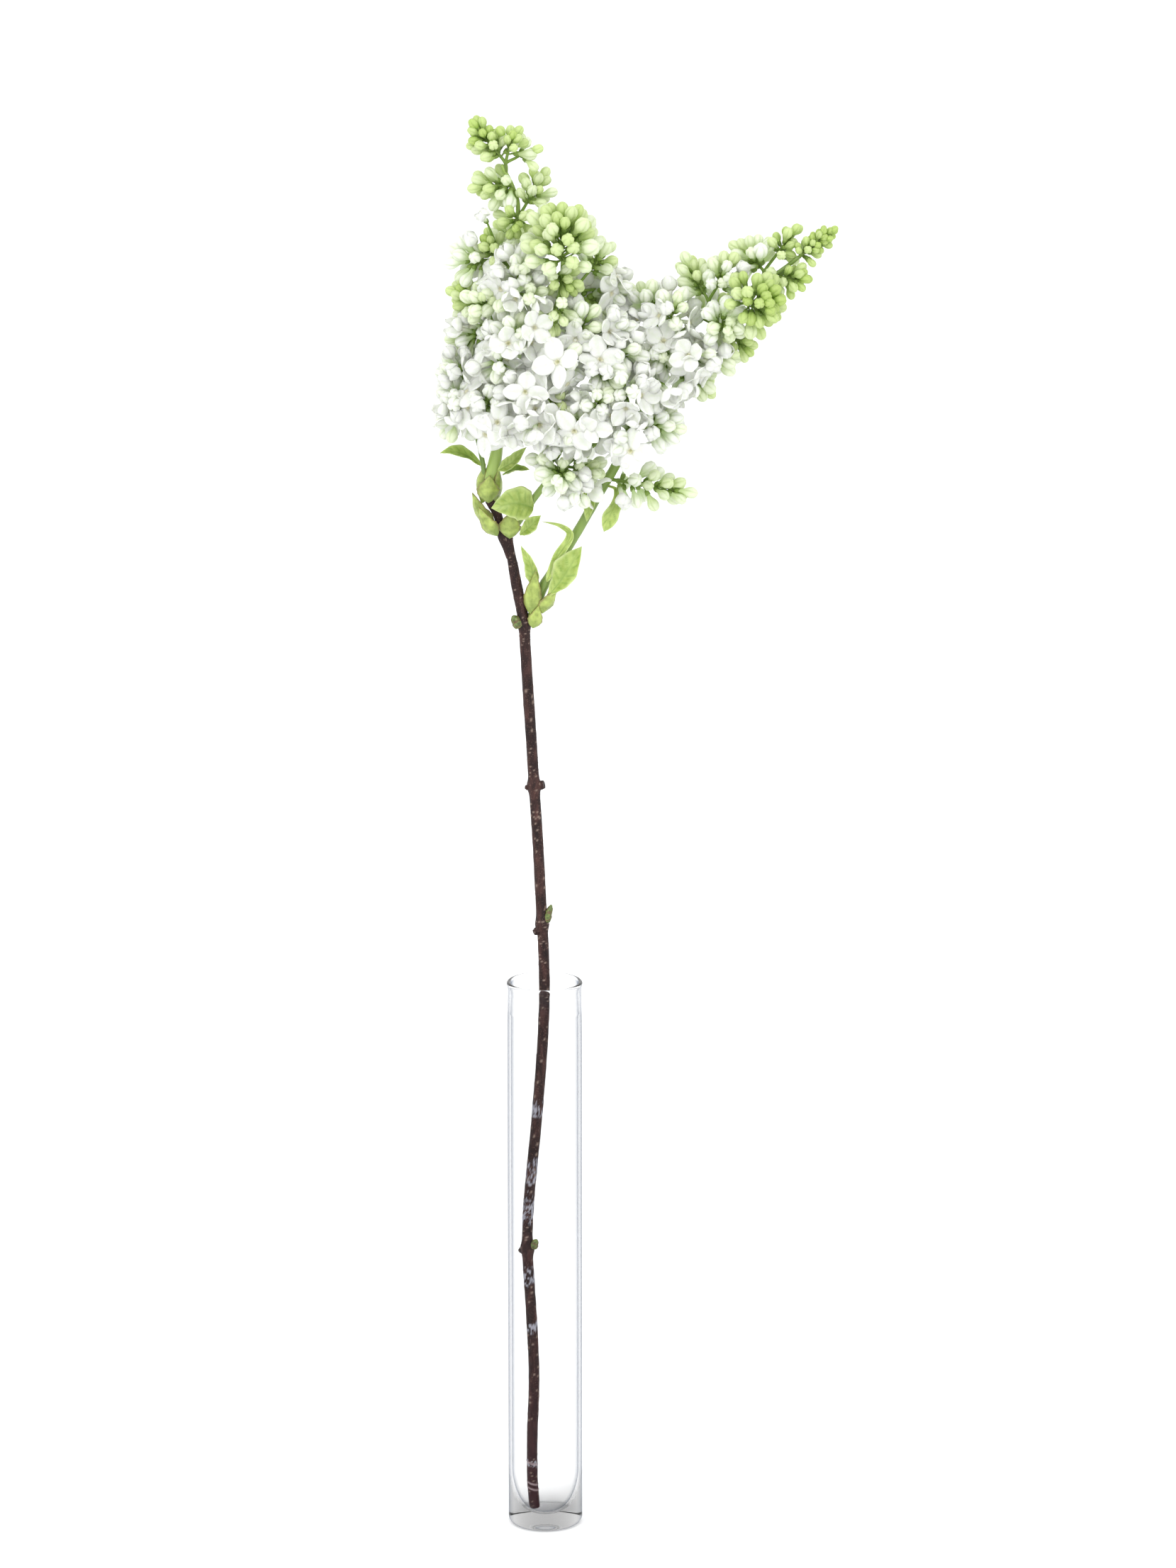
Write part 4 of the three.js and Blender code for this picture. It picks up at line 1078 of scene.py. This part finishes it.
def open_floret(pose, rng):
    """A floret with parted petals, from the first gap between them to a flat star."""
    lean = np.array(pose["lean"], float)
    tube, base, throat_height = OPEN_TUBE_RADIUS, OPEN_CALYX_BASE, THROAT_HEIGHT
    angles = np.linspace(0, 2 * math.pi, TUBE_SIDES, endpoint=False)
    skin = Skin()
    heights = [base + 0.6, 7.5, throat_height - 1.0, throat_height, throat_height - 0.15, 8.2]
    radii = [tube * 0.9, tube, tube * 1.15, tube * 1.45, tube * 0.95, tube * 0.4]
    points, faces = closed_rings(turned_rings(heights, radii, angles))
    inside = np.append(np.repeat([0, 0, 0, 0.3, 1, 1], TUBE_SIDES), (0, 1))
    skin.add(points, faces, ripeness=0.97, up=np.clip(points[:, 2] / 12, 0, 1), throat=inside)
    add_stalk(skin, tube, base, 1.0)
    along = np.linspace(0, 1, PETAL_STEPS + 1)
    v = np.linspace(-1, 1, PETAL_ACROSS + 1)
    midline = np.repeat(0.35 * both_sides(np.exp(-((v / 0.1) ** 2))[None]), PETAL_STEPS + 1, axis=0)
    for quarter in range(4):
        tilt = np.radians(np.interp(along, [0, 0.35, 0.7, 1], lean + rng.normal(0, 7, 4)))
        length = pose["length"] * (0.92 + 0.16 * rng.random())
        out = np.cumsum(np.sin(tilt)) * length / PETAL_STEPS
        rise = np.cumsum(np.cos(tilt)) * length / PETAL_STEPS
        out, rise = out - out[0] + tube * 0.9, rise - rise[0] + throat_height - 0.35
        turned = quarter * math.pi / 2 + rng.normal(0, 0.07)
        radial = np.array([math.cos(turned), math.sin(turned), 0])
        tangent = np.array([-math.sin(turned), math.cos(turned), 0])
        axis = np.array([0, 0, 1.0])
        middle = radial * out[:, None] + axis * rise[:, None]
        upper = -radial * np.cos(tilt)[:, None] + axis * np.sin(tilt)[:, None]
        roll = rng.normal(0, 0.16)
        side = -tangent * math.cos(roll) + upper * math.sin(roll)
        upper = upper * math.cos(roll) + tangent * math.sin(roll)
        outline = np.clip(np.sin(math.pi * (0.05 + 0.925 * along**0.88)), 0, 1) ** 0.62
        half = pose["half"] * (0.94 + 0.12 * rng.random()) * outline
        fold = np.exp(-((v / 0.16) ** 2))[None] * eased(along * 2)[:, None]
        crease = -CREASE_DEPTH * half[:, None] * fold
        hood = pose["curl"] * (0.55 + 1.1 * along[:, None] ** 3)
        ruffle = np.sin(7 * along[:, None] + 3 * v[None] + 6 * rng.random()) * np.abs(v)[None] * RUFFLE
        lift = half[:, None] * (hood * np.abs(v)[None] ** 2.2 + ruffle) + crease
        rings = thin_rings(middle, side, upper, half, lift, PETAL_THICKNESS, PETAL_ACROSS)
        points, faces = closed_rings(rings)
        near = np.append(np.repeat(along, 2 * len(v)), (0, 1))
        skin.add(
            points,
            faces,
            ripeness=1.0,
            up=0.75 + 0.25 * near,
            seam=np.append(midline.ravel(), (0, 0)),
            throat=0.28 * np.clip(1 - near * 9, 0, 1),
        )
    reach = np.interp(lean[1], [30, 96], [5.0, 7.0])
    return skin, throat_height + np.interp(lean[1], [30, 96], [3.5, 0.5]), reach


def finished(shape):
    """A floret ready to be set many times: its points, faces and marks in one block each."""
    skin, bloom_height, bloom_radius = shape
    marks = {name: np.concatenate(values) for name, values in skin.marks.items()}
    return np.vstack(skin.points), skin.faces, marks, bloom_height, bloom_radius


floret_rng = np.random.default_rng(5)
BUD_STAGES = np.linspace(0, OPEN_STAGE, 12)
BUDS_EACH = 3
STARS_EACH = 4
bud_florets = [
    [finished(bud_floret(stage, floret_rng)) for _ in range(BUDS_EACH)] for stage in BUD_STAGES
]
open_florets = [
    [finished(open_floret(pose, floret_rng)) for _ in range(STARS_EACH)] for pose in PETAL_POSES
]


def floret_at(stage, rng):
    """One of the florets made above, as ripe as `stage`."""
    if stage <= OPEN_STAGE:
        nearest = int(np.argmin(np.abs(BUD_STAGES - stage)))
        return bud_florets[nearest][rng.integers(BUDS_EACH)]
    unfolded = (stage - OPEN_STAGE) / (RIPEST - OPEN_STAGE) * (len(PETAL_POSES) - 0.01)
    return open_florets[min(int(unfolded), len(PETAL_POSES) - 1)][rng.integers(STARS_EACH)]


shoot_routes = {name: smooth_route(shoot["path"], SHOOT_STEPS) for name, shoot in SHOOTS.items()}
solid_spots = np.vstack(
    [
        np.c_[shoot_routes[name], radii_along(shoot["radii"], SHOOT_STEPS)]
        for name, shoot in SHOOTS.items()
    ]
)


FORK_AT = 0.3  # where the branchlets part, as a share of the way from the shoot to their heads
BEND_AT = 0.55  # where each one bends, as a share of the way from the fork to its head
FOOT_BELOW = 1 / 20  # how far below its heads a side branch starts, as a share of the shoot


def branchlet_routes(shoot, heads):
    """A short common foot, then one branchlet to each head."""
    targets = [np.array(head["at"], float) for head in heads]
    middle = np.mean(targets, axis=0)
    route = shoot_routes[shoot]
    nearest = int(np.argmin(np.linalg.norm(route - middle, axis=1)))
    foot = route[max(nearest - int(len(route) * FOOT_BELOW), 0)]
    fork = foot + FORK_AT * (middle - foot)
    return [np.array([foot, fork, fork + BEND_AT * (target - fork), target]) for target in targets]


def turned_about(vector, axis, angle):
    """A vector turned about an axis of length one."""
    return (
        vector * math.cos(angle)
        + np.cross(axis, vector) * math.sin(angle)
        + axis * np.dot(axis, vector) * (1 - math.cos(angle))
    )


SHOOT_CLEARANCE = 0.6  # how near a shoot a bloom may stand, as a share of its radius
blooms = []  # the middle and radius of every bloom that has its place


def has_room(centre, radius):
    """True where a bloom would stand clear of the shoots and not press far into another bloom."""
    from_shoots = np.linalg.norm(solid_spots[:, :3] - centre, axis=1) - solid_spots[:, 3]
    if from_shoots.min() < SHOOT_CLEARANCE * radius:
        return False
    if not blooms:
        return True
    placed = np.array(blooms)
    apart = np.linalg.norm(placed[:, :3] - centre, axis=1)
    return bool((apart > CROWDING * (placed[:, 3] + radius)).all())


def set_floret(skin, shape, root, base, direction, roll, size, tone):
    """Sets one floret on its stalk, which runs from the branchlet at `root` to the floret's base."""
    points, faces, marks, _, _ = shape
    z = unit(direction)
    x = unit(np.cross(z, (0.31, 0.27, 0.91)))
    y = np.cross(z, x)
    x, y = x * math.cos(roll) + y * math.sin(roll), y * math.cos(roll) - x * math.sin(roll)
    placed = base + size * (points @ np.array([x, y, z]))
    skin.add(placed * MM, faces, tone=tone, **marks)
    if np.linalg.norm(base - root) > 0.4:
        stalk_route = smooth_route([root, 0.5 * (root + base) + (0, 0, -0.4), base + 0.3 * z], 2)
        stalk_rings = limb_rings(stalk_route, np.full(len(stalk_route), STALK_RADIUS), STALK_SIDES)
        stalk, stalk_faces = closed_rings(stalk_rings * MM)
        skin.add(stalk, stalk_faces, stalk=1.0, tone=tone)


def petal_finish(name):
    """Petals from yellow-green to white by ripeness, with green stalks and a golden throat."""
    finish = Finish(name, Roughness=0.48, Subsurface_Weight=0.35, Subsurface_Scale=0.0012)
    finish.shader.inputs["Subsurface Radius"].default_value = (1.0, 1.0, 0.8)
    ripeness = finish.mark("ripeness")
    petal = finish.ramp(
        ripeness,
        (0.0, 0.57, 0.70, 0.24),
        (0.35, 0.72, 0.81, 0.45),
        (0.65, 0.81, 0.86, 0.68),
        (0.85, 0.89, 0.92, 0.79),
        (1.0, 0.945, 0.945, 0.935),
    )
    green_base_and_shade = finish.ramp(
        ripeness,
        (0.0, 0.38, 0.54, 0.11),
        (0.5, 0.64, 0.75, 0.36),
        (1.0, 0.64, 0.80, 0.38),
    )
    # the lower part of each floret takes this green: partly its own green tube and base, partly painted
    # pale-green shade deep in the head
    petal = finish.blend(
        finish.ramp(finish.mark("up"), (0.2, 0.9, 0.9, 0.9), (0.75, 0, 0, 0)), petal, green_base_and_shade
    )
    streaks = finish.grain(900, 3)
    petal = finish.blend(
        finish.ramp(streaks, (0.40, 0.10, 0.10, 0.10), (0.62, 0, 0, 0)), petal, green_base_and_shade
    )
    seam_share = finish.maths("MULTIPLY", finish.mark("seam"), 0.35)
    petal = finish.blend(seam_share, petal, green_base_and_shade)
    stalk = finish.ramp(finish.mark("tone"), (0.0, 0.22, 0.35, 0.055), (1.0, 0.40, 0.55, 0.14))
    petal = finish.blend(finish.mark("stalk"), petal, stalk)
    petal = finish.blend(finish.mark("throat"), petal, (0.87, 0.85, 0.62, 1))
    finish.colour(petal)
    finish.relief(streaks, 0.0002, 0.35)
    finish.let_light_through(petal, 0.45)
    return finish.material


slot_of = {part["node"]: part["material_slot"] for part in frame["record"]["subparts"]}
petal_finishes = {slot: petal_finish(slot) for slot in ("white_petals", "green_petals")}
BRANCHLET_RADII = [1.0, 0.85, 0.75, 0.5]
BRANCHLET_SIDES = 10
BRANCHLET_STEPS = 8
LARGE_FLORET = 1.28


def grow_in_place(skin, shape, root, base, direction, size, rng):
    """Sets a floret where there is room for its bloom, and keeps that room for it."""
    roll, tone = rng.random() * math.pi, rng.random()
    centre, radius = base + direction * shape[3] * size, shape[4] * size
    if has_room(centre, radius):
        blooms.append((*centre, radius))
        set_floret(skin, shape, root, base, direction, roll, size, tone)


TOWARDS_LIGHT = np.array([0.0, -0.9, 0.35])
HEAD_OPENING = 0.8  # how far round from its tip a head carries florets: 1 is a half ball
AGE_SPREAD = 0.9
LEAST_SIZE, SIZE_SPREAD = 0.92, 0.16
SPARE_STALK = 2.5
LONG_STALK = 10
for number, (name, heads) in enumerate(FLOWER_HEADS.items()):
    rng = np.random.default_rng(100 + number)
    skin = Skin()
    tips = np.array([head["at"] for head in heads], float)
    for star in STARS.get(name, []):
        star = np.array(star, float)
        root = tips[np.argmin(np.linalg.norm(tips - star, axis=1))]
        direction = unit(unit(star - root) + TOWARDS_LIGHT)
        direction = unit(direction + 0.25 * rng.standard_normal(3))
        shape = open_florets[2 + rng.integers(3)][rng.integers(3)]
        size = 1.0 + 0.16 * rng.random()
        base = star - direction * shape[3] * size
        grow_in_place(skin, shape, root, base, direction, size, rng)
    shoot = "left_side" if name in ON_LEFT_SIDE_SHOOT else name.split("_")[0]
    for head, path in zip(heads, branchlet_routes(shoot, heads)):
        green_route = smooth_route(path, BRANCHLET_STEPS)
        green_radii = radii_along(BRANCHLET_RADII, BRANCHLET_STEPS)
        points, faces = closed_rings(limb_rings(green_route, green_radii, BRANCHLET_SIDES) * MM)
        skin.add(points, faces, stalk=1.0, tone=0.3)
        tip = path[-1]
        axis = unit(path[-1] - path[-2])
        across = unit(np.cross((0, 1, 0.2), axis))
        wanted = round(head["florets"] * FULLNESS)
        length = head["length"]
        for k in range(wanted):
            down = (k + 0.5) / wanted
            lean = math.acos(1 - HEAD_OPENING * down) + 0.5 * (rng.random() - 0.5)
            around = k * GOLDEN_ANGLE + 0.5 * (rng.random() - 0.5)
            direction = turned_about(turned_about(axis, across, lean), axis, around)
            age = head["ripe"] + (down - 0.5) + AGE_SPREAD * (rng.random() - 0.5)
            stage = float(np.clip(age, 0, RIPEST))
            shape = floret_at(stage, rng)
            size = LEAST_SIZE + SIZE_SPREAD * rng.random()
            size *= LARGE_FLORET if length > 1 else length
            root = tip - axis * head["span"] * down
            spare = max(length - 1, 0) * LONG_STALK + SPARE_STALK * rng.random() ** 2 * min(length, 1)
            grow_in_place(skin, shape, root, root + direction * spare, direction, size, rng)
    node = name + "_flowers"
    make_piece("lilac_" + node, skin, petal_finishes[slot_of[node]], slot_of[node], node)
